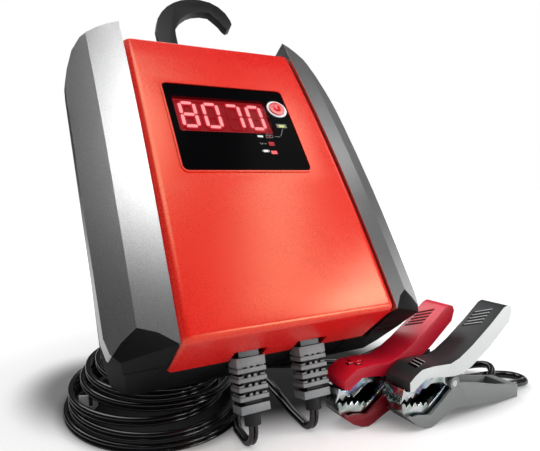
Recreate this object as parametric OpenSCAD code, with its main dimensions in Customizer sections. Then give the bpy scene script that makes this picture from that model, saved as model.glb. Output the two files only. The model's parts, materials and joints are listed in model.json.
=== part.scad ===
// Car battery charger: bowed case with two silver side panels and a display
// panel, fold-back hanging hook, two ribbed strain reliefs, a coiled mains lead
// and a coiled output lead that ends in a red and a black battery clamp.
// Lengths in mm, +Z up, origin on the floor under the middle of the case.

/* [Case] */
// Height of the front cover along its face
cover_h = 250; // [235:1:265]
// Half width of the front cover at its lower edge
cover_half = 79.2; // [74:0.2:84]
// Depth of the front cover from face to rear edge
cover_depth = 46; // [40:1:50]
// Radius of the fore-and-aft bow of the front
bow_r = 1700; // [1200:50:2600]
// Depth of the whole case
case_depth = 76; // [70:1:82]
// Wall thickness of the mouldings
wall = 2.6; // [2:0.1:3.4]
// Backward lean of the case as it stands
lean_deg = 31.1; // [27:0.1:35]

/* [Side panels] */
// Distance of the ridge line from the middle
ridge_x = 100.5; // [96:0.5:104]
// Distance of the outer edge from the middle
outer_x = 120; // [115:0.5:126]
// Height of the panel crest above the cover
crest = 19; // [10:1:26]

/* [Panel] */
// Half width of the control panel
panel_half = 51.2; // [46:0.2:56]
// Height of the control panel
panel_h = 83.5; // [76:0.5:90]
// Radius of the push button cap
button_r = 6.8; // [5.4:0.2:7.6]
// Travel of the push button
button_travel = 1.2; // [0.8:0.1:1.6]

/* [Hook] */
// Thickness of the hook
hook_t = 8; // [6:0.5:10]
// Radius of the hook pin
pin_r = 2.5; // [2:0.1:3]
// Running clearance of pins in their holes, on the radius
run_gap = 0.06; // [0.03:0.01:0.1]

/* [Leads] */
// Height of the flat twin lead
lead_h = 6; // [5.4:0.1:6.2]
// Thickness of the flat twin lead
lead_t = 3.6; // [3:0.1:4]
// Spacing of the stacked turns
lead_pitch = 6.6; // [6.5:0.05:6.7]
// Diameter of the single clamp leads
clamp_lead_d = 6.4; // [5:0.2:7]

/* [Clamps] */
// Width of a clamp over its handles
clamp_w = 24; // [21:0.5:24.5]
// Radius of the clamp pivot pin
clamp_pin_r = 2.4; // [2:0.1:3]
// Thickness of the jaw plates
jaw_t = 1.4; // [1:0.1:1.6]

/* [Hidden] */
$fn = 48;
bow_fn = 720;
case_rise = 90.2;
case_back = -100;
tilt = 0.9;
fit = 0.3;
z_top = cover_h;
bottom_slope = 12 / 76;
back_in = case_depth - wall;
panel_x = -3.5;
panel_z0 = 116.5;
panel_z1 = panel_z0 + panel_h;
btn_x = panel_x + panel_half - 10.2;
btn_z = panel_z1 - 21.3;
window_x0 = panel_x - panel_half + 5.3;
window_x1 = panel_x + panel_half - 19.7;
window_z0 = panel_z1 - 47.7;
window_z1 = panel_z1 - 12.8;
lamp_x = btn_x - 1.1;
lamp_z = btn_z - 17.5;
fault_x = btn_x - 16.5;
fault_z = btn_z - 44.8;
board_holes_x = [panel_x - panel_half - 3.5, panel_x + panel_half + 3.5];
board_holes_z = [panel_z0 + 7.5, panel_z1 - 7];
hook_y = case_depth - 6;
hinge_y = case_depth + 2;
hinge_z = cover_h + 6;
relief_x = 24;
relief_y = 44;
relief_z = -6;
relief_tilt = 18;
relief_len = 36;
stub_len = 9;
lug_w = 5;
board_y = case_depth - 10;

// ---------- placing ----------
module lean() {
  translate([0, case_back, case_rise]) rotate([-lean_deg, 0, 0]) children();
}

function bow(z) = bow_r - sqrt(bow_r * bow_r - z * z);
function bow_a(z) = asin(z / bow_r);

// on the bowed face at (x, z), with -Y of the child along the outward normal
module on_face(x, z) {
  translate([x, bow(z), z]) rotate([-bow_a(z), 0, 0]) children();
}

// revolve a section of [x, depth behind the face] points around the bow axis
module bowed(pts, a0 = -1.2, a1 = 9.8) {
  translate([0, bow_r, 0]) rotate([90, 0, -90])
    rotate_extrude(angle = a1 - a0, start = a0, $fn = bow_fn)
      polygon([for (p = pts) [bow_r - p[1], -p[0]]]);
}

// prism of [x, z] points through the whole depth
module front_prism(pts, y0 = -40, y1 = 140) {
  translate([0, y1, 0]) rotate([90, 0, 0]) linear_extrude(y1 - y0) polygon(pts);
}

// prism of [y, z] points through the whole width
module side_prism(pts, x0, x1) {
  translate([x0, 0, 0]) rotate([90, 0, 90]) linear_extrude(x1 - x0) polygon(pts);
}

function arc(cx, cy, r, a0, a1, n = 6) =
  [for (i = [0 : n]) [cx + r * cos(a0 + (a1 - a0) * i / n), cy + r * sin(a0 + (a1 - a0) * i / n)]];

function rrect(x0, z0, x1, z1, r) = concat(
  arc(x1 - r, z0 + r, r, -90, 0), arc(x1 - r, z1 - r, r, 0, 90),
  arc(x0 + r, z1 - r, r, 90, 180), arc(x0 + r, z0 + r, r, 180, 270));

// smooth closed outline through hand-set points
function cm(a, b, c, d, t) = 0.5 * ((2 * b) + (c - a) * t + (2 * a - 5 * b + 4 * c - d) * t * t
  + (3 * b - a - 3 * c + d) * t * t * t);
function closed_curve(p, n = 4) = let(m = len(p))
  [for (i = [0 : m - 1]) for (k = [0 : n - 1])
    cm(p[(i + m - 1) % m], p[i], p[(i + 1) % m], p[(i + 2) % m], k / n)];
function open_curve(p, n) = let(m = len(p)) concat(
  [for (i = [0 : m - 2]) for (k = [0 : n - 1])
    cm(p[max(0, i - 1)], p[i], p[i + 1], p[min(m - 1, i + 2)], k / n)], [p[m - 1]]);

// ---------- case outline ----------
// outer edge of a side panel seen from the front, moved in by d
function edge_pts(d) = [
  [60, -13.5 + d], [92, -13.5 + d], [101 - d * 0.5, -10 + d], [110 - d * 0.8, -3 + d],
  [outer_x - 4.5 - d, 4 + d * 0.5], [outer_x - 2.2 - d, 14], [outer_x - 0.8 - d, 100],
  [outer_x - d, 200], [outer_x - 0.8 - d, z_top - 36], [outer_x - 3 - d, z_top - 24 - d * 0.2],
  [outer_x - 8 - d, z_top - 5 - d * 0.4], [outer_x - 15 - d * 0.8, z_top + 8 - d * 0.7],
  [outer_x - 20 - d * 0.5, z_top + crest - 7 - d], [92, z_top + crest - 3 - d],
  [84, z_top + crest - 0.6 - d], [60, z_top + crest - d]];

// panel section: [x, depth behind the bowed face], moved in by d
function face_pts(d, back) = [
  [72, -2.2 + d], [79.3, 1 + d], [ridge_x - d * 0.35, 9.7 + d], [outer_x + 2 - d, 21.6 + d * 0.9],
  [outer_x + 2 - d, 23], [outer_x - 1.7 - d, 33], [outer_x - 1.7 - d - (back - 33) * 0.25, back],
  [60, back], [60, -2.2 + d]];

// silver part ends on an upside-down V that drops from the ridge to both edges
function vee(z) = [[60, -1 + z], [79, -1 + z], [90, 9.5 + z], [ridge_x, 15 + z], [109, 9 + z],
  [outer_x - 2, -1 + z], [outer_x + 10, -8 + z], [outer_x + 10, 300], [60, 300]];
function under_vee(z) = [[60, -1 + z], [79, -1 + z], [90, 9.5 + z], [ridge_x, 15 + z], [109, 9 + z],
  [outer_x - 2, -1 + z], [outer_x + 10, -8 + z], [outer_x + 10, -60], [60, -60]];

module right_of_cover(gap) {
  rotate([0, -tilt, 0]) translate([cover_half + gap, -40, -40]) cube([80, 200, 380]);
}

module side_panel() {
  color("silver") union() {
    difference() {
      intersection() {
        bowed(face_pts(0, 33));
        front_prism(edge_pts(0));
        front_prism(vee(0));
        right_of_cover(fit);
      }
      intersection() {
        bowed(face_pts(2.4, 34));
        front_prism(edge_pts(2.4));
        right_of_cover(fit + 2.2);
      }
    }
    for (z = [40, 125, 210]) translate([96, bow(z) + 11, z]) rotate([-90, 0, 0]) cylinder(r = 2.4, h = 34);
  }
}

module side_panel_right() { lean() side_panel(); }
module side_panel_left() { lean() mirror([1, 0, 0]) side_panel(); }

// ---------- front cover ----------
// half of the cover block, d = distance moved in from the outer surface
module cover_half_block(d, depth, zt) {
  intersection() {
    rotate([0, -tilt, 0]) bowed(concat(
      [[-30, d]], [for (p = arc(cover_half - d - 7, 7 + d, 7, -90, 0)) [p[0], p[1]]],
      [[cover_half - d, depth + 30], [-30, depth + 30]]), -1.2, 9.4);
    translate([0, -50, -40]) cube([100, 250, 400]);
    side_prism([[-20, -20 * -bottom_slope + d], [depth, -depth * bottom_slope + d],
      [depth, zt - 10], [depth, zt], [-20, zt]], -1, 110);
  }
}

module cover_bosses() {
  for (x = [-68, 68]) for (z = [14, 125, 236]) translate([x, bow(z) + 2, z])
    rotate([-90, 0, 0]) cylinder(r = 4.2, h = 40 - bow(z));
  for (x = board_holes_x) for (z = board_holes_z) translate([x, bow(z) + 2, z])
    rotate([-90, 0, 0]) cylinder(r = 3.2, h = 22.2 - bow(z));
}

module front_cover() {
  color("red") lean() difference() {
    union() {
      for (m = [0, 1]) mirror([m, 0, 0]) difference() {
        cover_half_block(0, cover_depth, z_top);
        translate([0, 0, 0]) cover_half_block(wall, cover_depth + 40, z_top - wall);
        translate([60, -50, 12]) rotate([0, 0, 0]) cube([60, 250, z_top]) ;
      }
      for (m = [0, 1]) mirror([m, 0, 0]) intersection() {
        difference() {
          cover_half_block(0, cover_depth, z_top);
          cover_half_block(wall, cover_depth + 40, z_top - wall);
        }
        translate([60, -50, 12]) cube([60, 250, z_top]);
        bowed([[50, -5], [90, -5], [90, 30], [50, 30]]);
      }
      cover_bosses();
      intersection() {
        bowed([[panel_x - panel_half - 2, -0.9], [panel_x + panel_half + 2, -0.9],
          [panel_x + panel_half + 2, 1.5], [panel_x - panel_half - 2, 1.5]]);
        front_prism(rrect(panel_x - panel_half - 1.4, panel_z0 - 1.4, panel_x + panel_half + 1.4,
          panel_z1 + 1.4, 5.4));
      }
    }
    // opening for the control panel
    front_prism(rrect(panel_x - panel_half - 0.1, panel_z0 - 0.1, panel_x + panel_half + 0.1,
      panel_z1 + 0.1, 4.1), -20, 16);
    // screw holes in the bosses
    for (x = [-68, 68]) for (z = [14, 125, 236]) translate([x, 22, z])
      rotate([-90, 0, 0]) cylinder(r = 1.5, h = 40);
    for (x = board_holes_x) for (z = board_holes_z) translate([x, 15, z])
      rotate([-90, 0, 0]) cylinder(r = 1.2, h = 20);
    // notches for the strain reliefs in the lower rear edge
    for (x = [-relief_x, relief_x]) translate([x - 12, 32, -30]) cube([24, 30, 40]);
  }
}

// ---------- back shell ----------
module shell_half(d) {
  intersection() {
    bowed([[-1, 20], [cover_half + 0.6, 20], [cover_half + 1, 33.3], [outer_x - 1.7 - d, 33.3],
      [outer_x - 17 - d, 95], [-1, 95]]);
    translate([-1, -50, -60]) cube([200, 50 + case_depth - d, 400]);
    side_prism([[-20, 20 * bottom_slope - 1 + d], [95, -95 * bottom_slope + d], [95, 300], [-20, 300]], -1, 140);
    union() {
      front_prism(edge_pts(d));
      front_prism([[-1, -20], [80, -20], [80, z_top - d], [-1, z_top - d]]);
    }
  }
}

module shell_nose(d) {
  intersection() {
    bowed(face_pts(d, 40), -1.2, 4);
    front_prism(edge_pts(d));
    front_prism(under_vee(-0.3 + (d > 0 ? 2 : 0)));
    side_prism([[-20, 20 * bottom_slope + d], [60, -60 * bottom_slope + d], [60, 60], [-20, 60]], 60, 140);
    right_of_cover(fit + (d > 0 ? 2.2 : 0));
  }
}

module hook_lug(x) {
  side_prism(concat([[case_depth - 12, z_top - 1], [case_depth - 0.1, z_top - 1]], arc(hinge_y, hinge_z, 5.6, -60, 130, 10)), x, x + lug_w);
}

module back_shell() {
  color("dimgray") lean() difference() {
    union() {
      for (m = [0, 1]) mirror([m, 0, 0]) difference() {
        union() {
          shell_half(0);
          shell_nose(0);
        }
        intersection() {
          shell_half(wall);
          translate([-1, -50, -60]) cube([200, 50 + back_in, 400]);
        }
        shell_nose(wall);
        // room for the front cover in the middle
        intersection() {
          rotate([0, -tilt, 0]) translate([-10, -40, -60]) cube([10 + cover_half + fit, 40 + cover_depth + fit, 400]);
          translate([-1, -50, -60]) cube([200, 250, 400]);
        }
        // room for the side panel beside the top of the cover
        intersection() {
          bowed([[60, -10], [90, -10], [90, 33.3], [60, 33.3]], 3, 9.8);
          right_of_cover(0);
        }
      }
      // screw pillars, panel sockets and board pillars
      for (x = [-68, 68]) for (z = [14, 125, 236]) translate([x, 42, z])
        rotate([-90, 0, 0]) cylinder(r = 4.2, h = case_depth - 42);
      for (x = [-96, 96]) for (z = [40, 125, 210]) translate([x, 44, z])
        rotate([-90, 0, 0]) cylinder(r = 4.4, h = case_depth - 44);
      for (x = [-50, 50]) for (z = [40, 205]) translate([x, board_y + 1.6, z])
        rotate([-90, 0, 0]) cylinder(r = 3.2, h = case_depth - board_y - 1.6);
      hook_lug(-32.5);
      hook_lug(-7.2);
      // relief housing with the two sockets
      translate([-38, 49, -8]) cube([76, case_depth - 50, 16]);
      for (x = [-38, 10]) translate([x, cover_depth + fit, -9]) cube([28, 4, 19]);
    }
    for (x = [-68, 68]) for (z = [14, 125, 236]) {
      translate([x, 41, z]) rotate([-90, 0, 0]) cylinder(r = 1.9, h = 50);
      translate([x, case_depth - 12, z]) rotate([-90, 0, 0]) cylinder(r = 3.4, h = 20);
    }
    for (x = [-96, 96]) for (z = [40, 125, 210]) translate([x, 43, z])
      rotate([-90, 0, 0]) cylinder(r = 2.4 + run_gap, h = 26);
    for (x = [-50, 50]) for (z = [40, 205]) translate([x, board_y + 1, z])
      rotate([-90, 0, 0]) cylinder(r = 1.2, h = 7.5);
    // hook pin hole
    translate([-40, hinge_y, hinge_z]) rotate([0, 90, 0]) cylinder(r = pin_r + run_gap, h = 50);
    // lower rear cut, so the bottom keeps its slope
    side_prism([[-40, 40 * bottom_slope - 40], [100, -100 * bottom_slope - 40], [100, -100 * bottom_slope],
      [-40, 40 * bottom_slope]], -60, 60);
    // cooling slots
    for (i = [0 : 6]) for (z = [40, 165]) translate([-45 + i * 14, case_depth - 8, z]) cube([5, 20, 45]);
    // passage for the relief necks
    for (x = [-relief_x, relief_x]) translate([x - 10.8, 40, -20]) cube([21.6, 18, 24]);
  }
}

// ---------- panel, display, button, lamps ----------
module control_panel() {
  color("black") lean() difference() {
    intersection() {
      bowed([[panel_x - 60, 0], [panel_x + 60, 0], [panel_x + 60, 2], [panel_x - 60, 2]]);
      front_prism(rrect(panel_x - panel_half, panel_z0, panel_x + panel_half, panel_z1, 4));
    }
    front_prism(rrect(window_x0, window_z0, window_x1, window_z1, 1.5));
    on_face(btn_x, btn_z) rotate([90, 0, 0]) cylinder(r = button_r + 2.1, h = 20, center = true);
    on_face(lamp_x, lamp_z) translate([-4.6, -10, -2.1]) cube([9.2, 20, 4.2]);
    on_face(fault_x, fault_z) translate([-2.6, -10, -1.6]) cube([5.2, 20, 3.2]);
  }
}

module display_window() {
  color("darkred", 0.5) lean() intersection() {
    bowed([[window_x0 - 5, 0.2], [window_x1 + 5, 0.2], [window_x1 + 5, 1.8], [window_x0 - 5, 1.8]]);
    front_prism(rrect(window_x0 + 0.1, window_z0 + 0.1, window_x1 - 0.1, window_z1 - 0.1, 1.4));
  }
}

module segment_digit() {
  for (z = [0, 11.5, 23]) translate([1.4, 0, z]) cube([8.4, 1, 1.8]);
  for (x = [0, 9.6]) for (z = [1.2, 12.7]) translate([x, 0, z]) cube([1.8, 1, 10.6]);
}

module display_module() {
  half = (window_x1 - window_x0) / 2 - 0.7;
  color("firebrick") lean() on_face((window_x0 + window_x1) / 2, (window_z0 + window_z1) / 2) {
    difference() {
      translate([-half, 2.4, -16.8]) cube([2 * half, 10, 33.6]);
      translate([2 - half, 2, -14.8]) cube([2 * half - 4, 1.6, 29.6]);
    }
    for (i = [0 : 3]) translate([4.6 - half + i * (half - 1) / 2, 2.6, -12.4]) segment_digit();
    for (i = [0 : 9]) for (z = [-13, 13])
      translate([6.5 - half + i * (2 * half - 13) / 9, 12.4, z]) rotate([-90, 0, 0]) cylinder(r = 0.4, h = 3);
  }
}

module button_ring() {
  color("silver") lean() on_face(btn_x, btn_z) rotate([90, 0, 0]) difference() {
    union() {
      translate([0, 0, -2]) cylinder(r = button_r + 2, h = 2.9);
      translate([0, 0, -3.2]) cylinder(r = button_r + 3.4, h = 1.2);
    }
    translate([0, 0, -8]) cylinder(r = button_r + run_gap + 0.1, h = 20);
  }
}

module button_cap() {
  color("red") lean() on_face(btn_x, btn_z) rotate([90, 0, 0]) difference() {
    union() {
      translate([0, 0, -3.2]) cylinder(r = button_r, h = 5);
      translate([0, 0, -4.4]) cylinder(r = button_r + 1.4, h = 1.15);
      translate([0, 0, -7]) cylinder(r = 1.6, h = 4);
    }
    translate([0, 0, 2.6 + 14]) sphere(r = 15.2, $fn = 72);
  }
}

module button_spring() {
  color("gray") lean() on_face(btn_x, btn_z) rotate([90, 0, 0])
    sweep([for (i = [0 : 48]) let(a = i * 30, h = i < 6 ? 0 : (i > 42 ? 36 : i - 6))
      [3 * cos(a), 3 * sin(a), -8.2 + h * 0.095]], ring_pts(0.35, 6));
}

module tact_switch() {
  color("darkslategray") lean() on_face(btn_x, btn_z) rotate([90, 0, 0]) {
    translate([-3, -3, -12.6]) cube([6, 6, 4]);
    translate([0, 0, -8.6]) cylinder(r = 1.7, h = 0.3);
  }
}

module lamp_yellow() {
  color("yellowgreen") lean() on_face(lamp_x, lamp_z) translate([-4.5, 0.1, -2]) cube([9, 7, 4]);
}

module lamp_red() {
  color("red") lean() on_face(fault_x, fault_z) translate([-2.5, 0.1, -1.5]) cube([5, 7, 3]);
}

module control_board() {
  color("darkgreen") lean() difference() {
    translate([board_holes_x[0] - 4.2, 24.2, board_holes_z[0] - 6]) cube([2 * panel_half + 15.4, 1.6, panel_h - 1.5]);
    for (x = board_holes_x) for (z = board_holes_z) translate([x, 20, z]) rotate([-90, 0, 0]) cylinder(r = 1.6, h = 10);
  }
}

// ---------- power parts on the board at the back ----------
module power_board() {
  color("darkgreen") lean() difference() {
    translate([-60, board_y, 30]) cube([120, 1.6, 186]);
    for (x = [-50, 50]) for (z = [40, 205]) translate([x, board_y - 2, z]) rotate([-90, 0, 0]) cylinder(r = 1.6, h = 8);
  }
}

module transformer_core() {
  color("darkgray") lean() difference() {
    translate([-44, board_y - 34, 60]) cube([52, 34, 44]);
    for (x = [-36, -11]) translate([x, board_y - 35, 67]) cube([11, 40, 30]);
  }
}

module transformer_winding() {
  color("peru") lean() difference() {
    translate([-35.6, board_y - 33, 67.4]) cube([35.2, 32, 29.2]);
    translate([-25.2, board_y - 35, 60]) cube([14.4, 40, 44]);
  }
}

module heat_sink() {
  color("silver") lean() translate([20, board_y - 32, 58]) union() {
    cube([4, 32, 60]);
    for (i = [0 : 6]) translate([3.5, i * 4.6, 0]) cube([22, 2, 60]);
  }
}

module capacitors() {
  color("navy") lean() {
    for (x = [-34, -8]) translate([x, board_y, 138]) rotate([90, 0, 0]) cylinder(r = 10, h = 30);
    translate([24, board_y, 146]) rotate([90, 0, 0]) cylinder(r = 8, h = 26);
    translate([-30, board_y - 12, 164]) cube([26, 12, 14]);
  }
}

module cover_screws() {
  color("gray") lean() for (x = [-68, 68]) for (z = [14, 125, 236]) translate([x, 0, z])
    rotate([-90, 0, 0]) difference() {
      union() {
        translate([0, 0, case_depth - 12]) cylinder(r = 3.1, h = 2.4);
        translate([0, 0, 30]) cylinder(r = 1.45, h = case_depth - 42);
      }
      translate([0, 0, case_depth - 10.8]) cylinder(r = 1.4, h = 3, $fn = 6);
    }
}

module board_screws() {
  color("gray") lean() {
    for (x = [-50, 50]) for (z = [40, 205]) translate([x, 0, z]) rotate([-90, 0, 0]) {
      translate([0, 0, board_y - 1.8]) cylinder(r = 2.8, h = 1.8);
      translate([0, 0, board_y - 0.5]) cylinder(r = 1.15, h = 8);
    }
    for (x = board_holes_x) for (z = board_holes_z) translate([x, 0, z]) rotate([-90, 0, 0]) {
      translate([0, 0, 25.8]) cylinder(r = 2.8, h = 1.8);
      translate([0, 0, 16]) cylinder(r = 1.15, h = 10);
    }
  }
}

// ---------- hook ----------
hook_outer = [[-26.6, 303], [-26.6, 318], [-23.5, 330], [-18, 340], [-11, 349], [-3, 356], [6, 361.5],
  [16, 365], [27, 366.5], [38, 365], [46.5, 360], [52.5, 352.5], [56, 343], [56.4, 337], [53, 331],
  [49, 328.5], [46.2, 331.5], [43, 338], [38.5, 343.5], [34, 348.6], [25, 348.8], [15.5, 346], [8.5, 342],
  [1, 335], [-4.5, 327], [-8, 317.5], [-8.6, 309], [-8.6, 303]];

module hook() {
  color("dimgray") lean() difference() {
    union() {
      translate([0, hook_y + hook_t / 2, 0]) rotate([90, 0, 0]) linear_extrude(hook_t)
        polygon(concat([[-26.6, 298]], hook_outer, [[-8.6, 298]]));
      side_prism([[hook_y - hook_t / 2, 303], [hook_y + hook_t / 2, 303], [hook_y + hook_t / 2, 273],
        [hinge_y + 3.6, hinge_z + 3], [hinge_y + 4, hinge_z], [hinge_y - 3.6, hinge_z],
        [hook_y - hook_t / 2, 268]], -26.6, -8.6);
      translate([-27.1, hinge_y, hinge_z]) rotate([0, 90, 0]) cylinder(r = 5, h = 19.5);
    }
    translate([-40, hinge_y, hinge_z]) rotate([0, 90, 0]) cylinder(r = pin_r + run_gap, h = 50);
  }
}

module hook_pin() {
  color("silver") lean() translate([-35.6, hinge_y, hinge_z]) rotate([0, 90, 0]) union() {
    cylinder(r = 4, h = 2);
    cylinder(r = pin_r, h = 37.4);
  }
}

module hook_washers() {
  color("gray") lean() translate([-2.1, hinge_y, hinge_z]) rotate([0, 90, 0]) difference() {
    cylinder(r = 4.4, h = 1);
    translate([0, 0, -1]) cylinder(r = pin_r + 0.02, h = 4);
  }
}

// ---------- strain reliefs ----------
module relief_body() {
  difference() {
    union() {
      translate([-10.5, -8, -6]) cube([21, 15, 6]);
      translate([-7.5, -5.5, 0]) cube([15, 10, 9.5]);
      translate([-6.4, -5.2, -relief_len]) cube([12.8, 10.4, relief_len]);
      for (i = [0 : 3]) translate([-10.5, -8, -9.9 - i * 6]) cube([21, 15, 2.8]);
      for (i = [0 : 3]) for (x = [-9.8, 6.2]) translate([x, -6.8, -7.2 - i * 6]) cube([3.6, 12.6, 1.4]);
      for (i = [0 : 3]) for (x = [-2.2, 2.2]) translate([x, -3, -6.6 - i * 6]) rotate([90, 0, 0]) cylinder(r = 1.3, h = 4.4);
      translate([-10.5, -8, -relief_len]) cube([21, 15, 5.4]);
      translate([0, 0, -relief_len - stub_len]) cylinder(r = 5.6, h = stub_len + 1);
    }
    translate([0, 0, -relief_len - stub_len - 1]) cylinder(r = 4.6, h = 2.5);
  }
}

module relief_at(x) {
  lean() translate([x, relief_y, relief_z]) rotate([relief_tilt, 0, 0]) relief_body();
}

module strain_relief_mains() { color("dimgray") relief_at(-relief_x); }
module strain_relief_output() { color("dimgray") relief_at(relief_x); }

// ---------- sweeps ----------
function ring_pts(r, n) = [for (k = [0 : n - 1]) [r * cos(360 * (k + 0.5) / n), r * sin(360 * (k + 0.5) / n)]];
function twin_pts(t, h) = let(a = t / 2, b = h / 2) [
  [a * 0.74, 0], [a * 0.97, b * 0.42], [a * 0.68, b * 0.83], [0, b], [-a * 0.68, b * 0.83], [-a * 0.97, b * 0.42],
  [-a * 0.74, 0], [-a * 0.97, -b * 0.42], [-a * 0.68, -b * 0.83], [0, -b], [a * 0.68, -b * 0.83], [a * 0.97, -b * 0.42]];
function unit(v) = v / max(norm(v), 0.000001);
function along(p, i) = unit(p[min(i + 1, len(p) - 1)] - p[max(i - 1, 0)]);

// tube through the points p with section r; w gives the direction of the
// section's second axis; floor_z cuts the tube flat where it lies
module sweep(p, r, w = [], floor_z = -1000) {
  n = len(r);
  m = len(p);
  pts = [for (i = [0 : m - 1])
    let(t = along(p, i), s = len(w) > 0 ? w[i] : [0, 0, 1], a = unit(cross(t, s)), b = cross(a, t))
    for (k = [0 : n - 1]) let(q = p[i] + a * r[k][0] + b * r[k][1]) [q[0], q[1], max(q[2], floor_z)]];
  faces = concat(
    [for (i = [0 : m - 2]) for (k = [0 : n - 1]) [i * n + k, i * n + (k + 1) % n, (i + 1) * n + (k + 1) % n]],
    [for (i = [0 : m - 2]) for (k = [0 : n - 1]) [i * n + k, (i + 1) * n + (k + 1) % n, (i + 1) * n + k]],
    [for (k = [1 : n - 2]) [0, k + 1, k]],
    [for (k = [1 : n - 2]) [(m - 1) * n, (m - 1) * n + k, (m - 1) * n + k + 1]]);
  polyhedron(pts, faces);
}

function cw(p) = [p[0], p[1] * cos(lean_deg) + p[2] * sin(lean_deg) + case_back,
  -p[1] * sin(lean_deg) + p[2] * cos(lean_deg) + case_rise];
function lerp(a, b, t) = a + (b - a) * t;
function smooth(t) = let(u = min(1, max(0, t))) u * u * (3 - 2 * u);
function table(t, v) = let(u = min(len(t) - 1.001, max(0, v)), k = floor(u)) lerp(t[k], t[k + 1], u - k);

// ---------- coils ----------
// ring of each level: [centre x, centre y, half width, half depth]
ring_low = [[-61, 33, 68.5, 82.5], [-63, 34, 62.5, 80], [-66, 39, 59, 74], [-66, 39, 59, 74]];
ring_high = [[-56, 43, 59, 74], [-59, 44, 51.5, 72], [-54, 40, 49, 70], [-54, 40, 49, 70]];
lead_z = lead_h / 2 - 0.5;

function turn_no(th) = floor((th + 30) / 360);
function level(th) = let(k = turn_no(th), u = th + 30 - 360 * k) k < 1 ? 0 : k - 1 + smooth(u / 160);
function coil_at(tb, base, th, e) = let(v = level(th), g = table(tb, v))
  [g[0] + (g[2] + e) * cos(th), g[1] + (g[3] + e) * sin(th), lead_z + lead_pitch * (base + v)];
function swell(th) = 7 * (1 - smooth((th - 85) / 50));

// exit of a strain relief: mouth point, outward direction and the bend below
relief_out = unit(cw([0, sin(relief_tilt), -cos(relief_tilt)]) - cw([0, 0, 0]));
function mouth(x) = cw([x, relief_y + sin(relief_tilt) * (relief_len + stub_len - 1.5),
  relief_z - cos(relief_tilt) * (relief_len + stub_len - 1.5)]);
function exit_run(x) = let(s = mouth(x), a = s + relief_out * lead_t, h = a[2] - lead_t / 2 - 0.1,
  r = h / (1 - relief_out[1] + 0), q = atan2(relief_out[2], relief_out[1]),
  c = [a[0], a[1] - relief_out[2] * r, a[2] + relief_out[1] * r])
  concat([s, a], [for (i = [1 : 6]) let(b = q - 90 + (270 - (q - 90 + 360) % 360) * i / 6 + 0)
    [c[0], c[1] + r * cos(b), c[2] + r * sin(b)]]);

mains_mid = [[-23, -48, 2.3], [-19, -36, 2.5], [-12, -24, 2.5]];
mains_end = [[-4, 30, 14], [8, 58, 10], [24, 82, 9], [42, 97, 10.5], [62, 105, 11], [72, 106, 11]];
output_mid = [[24, -44, 4], [25, -22, 8], [25, 6, 13], [18, 40, 18.5], [0, 74, 22], [-24, 100, lead_z + 3 * 6.6]];
output_end = [[-14, -19, 34.5], [14, -10, 31], [48, -6, 24], [84, 4, 15], [112, 15, 6.5], [134, 22, 3],
  [160, 29, 2.5], [186, 38, 2.5], [205, 40, 2.5], [218, 31, 2.5], [218, 17, 3.5], [211, 8, 4.5], [208.3, 5.3, 4.5]];

mains_path = concat(exit_run(-relief_x), open_curve(mains_mid, 1),
  [for (th = [-30 : 15 : 1050]) coil_at(ring_low, 0, th, swell(th))], open_curve(mains_end, 2));
output_path = concat(exit_run(relief_x), open_curve(output_mid, 2),
  [for (th = [130 : 15 : 1015]) coil_at(ring_high, 3, th, 0)], open_curve(output_end, 2));

// wide side across the relief at first, then upright
function upright(p, x) = [for (i = [0 : len(p) - 1]) let(f = smooth((i - 8) / 5)) unit([1 - f, 0, f])];

function length_of(p) = len(p) < 2 ? 0 : sum([for (i = [1 : len(p) - 1]) norm(p[i] - p[i - 1])]);
function sum(v, i = 0) = i >= len(v) ? 0 : v[i] + sum(v, i + 1);
function box_gap(d) = norm([max(0, norm([d[0], d[1]]) - lead_t), max(0, abs(d[2]) - lead_h)]);
function least_gap(p) = min([for (i = [8 : len(p) - 11]) for (j = [i + 10 : len(p) - 1]) box_gap(p[j] - p[i])]);

module mains_lead() {
  echo(mains_length = length_of(mains_path), mains_self_gap = least_gap(mains_path));
  color("black") sweep(mains_path, twin_pts(lead_t, lead_h), upright(mains_path, -relief_x), 0);
}

module output_lead() {
  echo(output_length = length_of(output_path), output_self_gap = least_gap(output_path));
  color("black") sweep(output_path, twin_pts(lead_t, lead_h), upright(output_path, relief_x), 0);
}

module mains_plug() {
  color("black") translate([72, 106, 11]) union() {
    rotate([0, 90, 0]) cylinder(r1 = 4.2, r2 = 6, h = 14);
    translate([14, -11, -8]) cube([24, 22, 16]);
    translate([38, -12.5, -9.5]) cube([5, 25, 19]);
  }
}

module plug_blades() {
  color("gold") translate([115, 106, 11]) for (y = [-7.1, 5.6]) translate([0, y, y < 0 ? -3.2 : -4])
    difference() {
      cube([16, 1.5, y < 0 ? 6.4 : 8]);
      translate([12.2, -1, y < 0 ? 3.2 : 4]) rotate([-90, 0, 0]) cylinder(r = 1.6, h = 4);
    }
}

// band round a stack of turns at the left of the coil
module tie_band(x, y, a, z0, z1, t) {
  translate([x, y, 0]) rotate([0, 0, a]) difference() {
    translate([-t / 2 - 1, -2.4, z0 - 1]) cube([t + 2, 4.8, z1 - z0 + 2]);
    translate([-t / 2, -5, z0]) cube([t, 10, z1 - z0]);
  }
}

module mains_tie() {
  color("lightgray") union() {
    translate([-121.5, 23, 9]) rotate([0, 0, -20]) cube([7, 1.2, 12]);
    translate([-122.3, 22, 9]) cube([11.5, 1.4, 2.2]);
    translate([-112, 22, 9]) rotate([0, 0, -35]) cube([1.3, 6.5, 9]);
  }
}

module output_tie() {
  color("lightgray") tie_band(-58, 116.5, 90, 18.6, 32.2, 6.6);
}

module lead_splitter() {
  color("black") translate([200, -3, 0]) rotate([0, 0, 45]) union() {
    translate([-10, -8, 0]) cube([17, 16, 9]);
    translate([7, -5, 0]) cube([4.6, 10, 9]);
    translate([-12, -8, 1]) cube([2, 16, 7]);
  }
}

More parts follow.
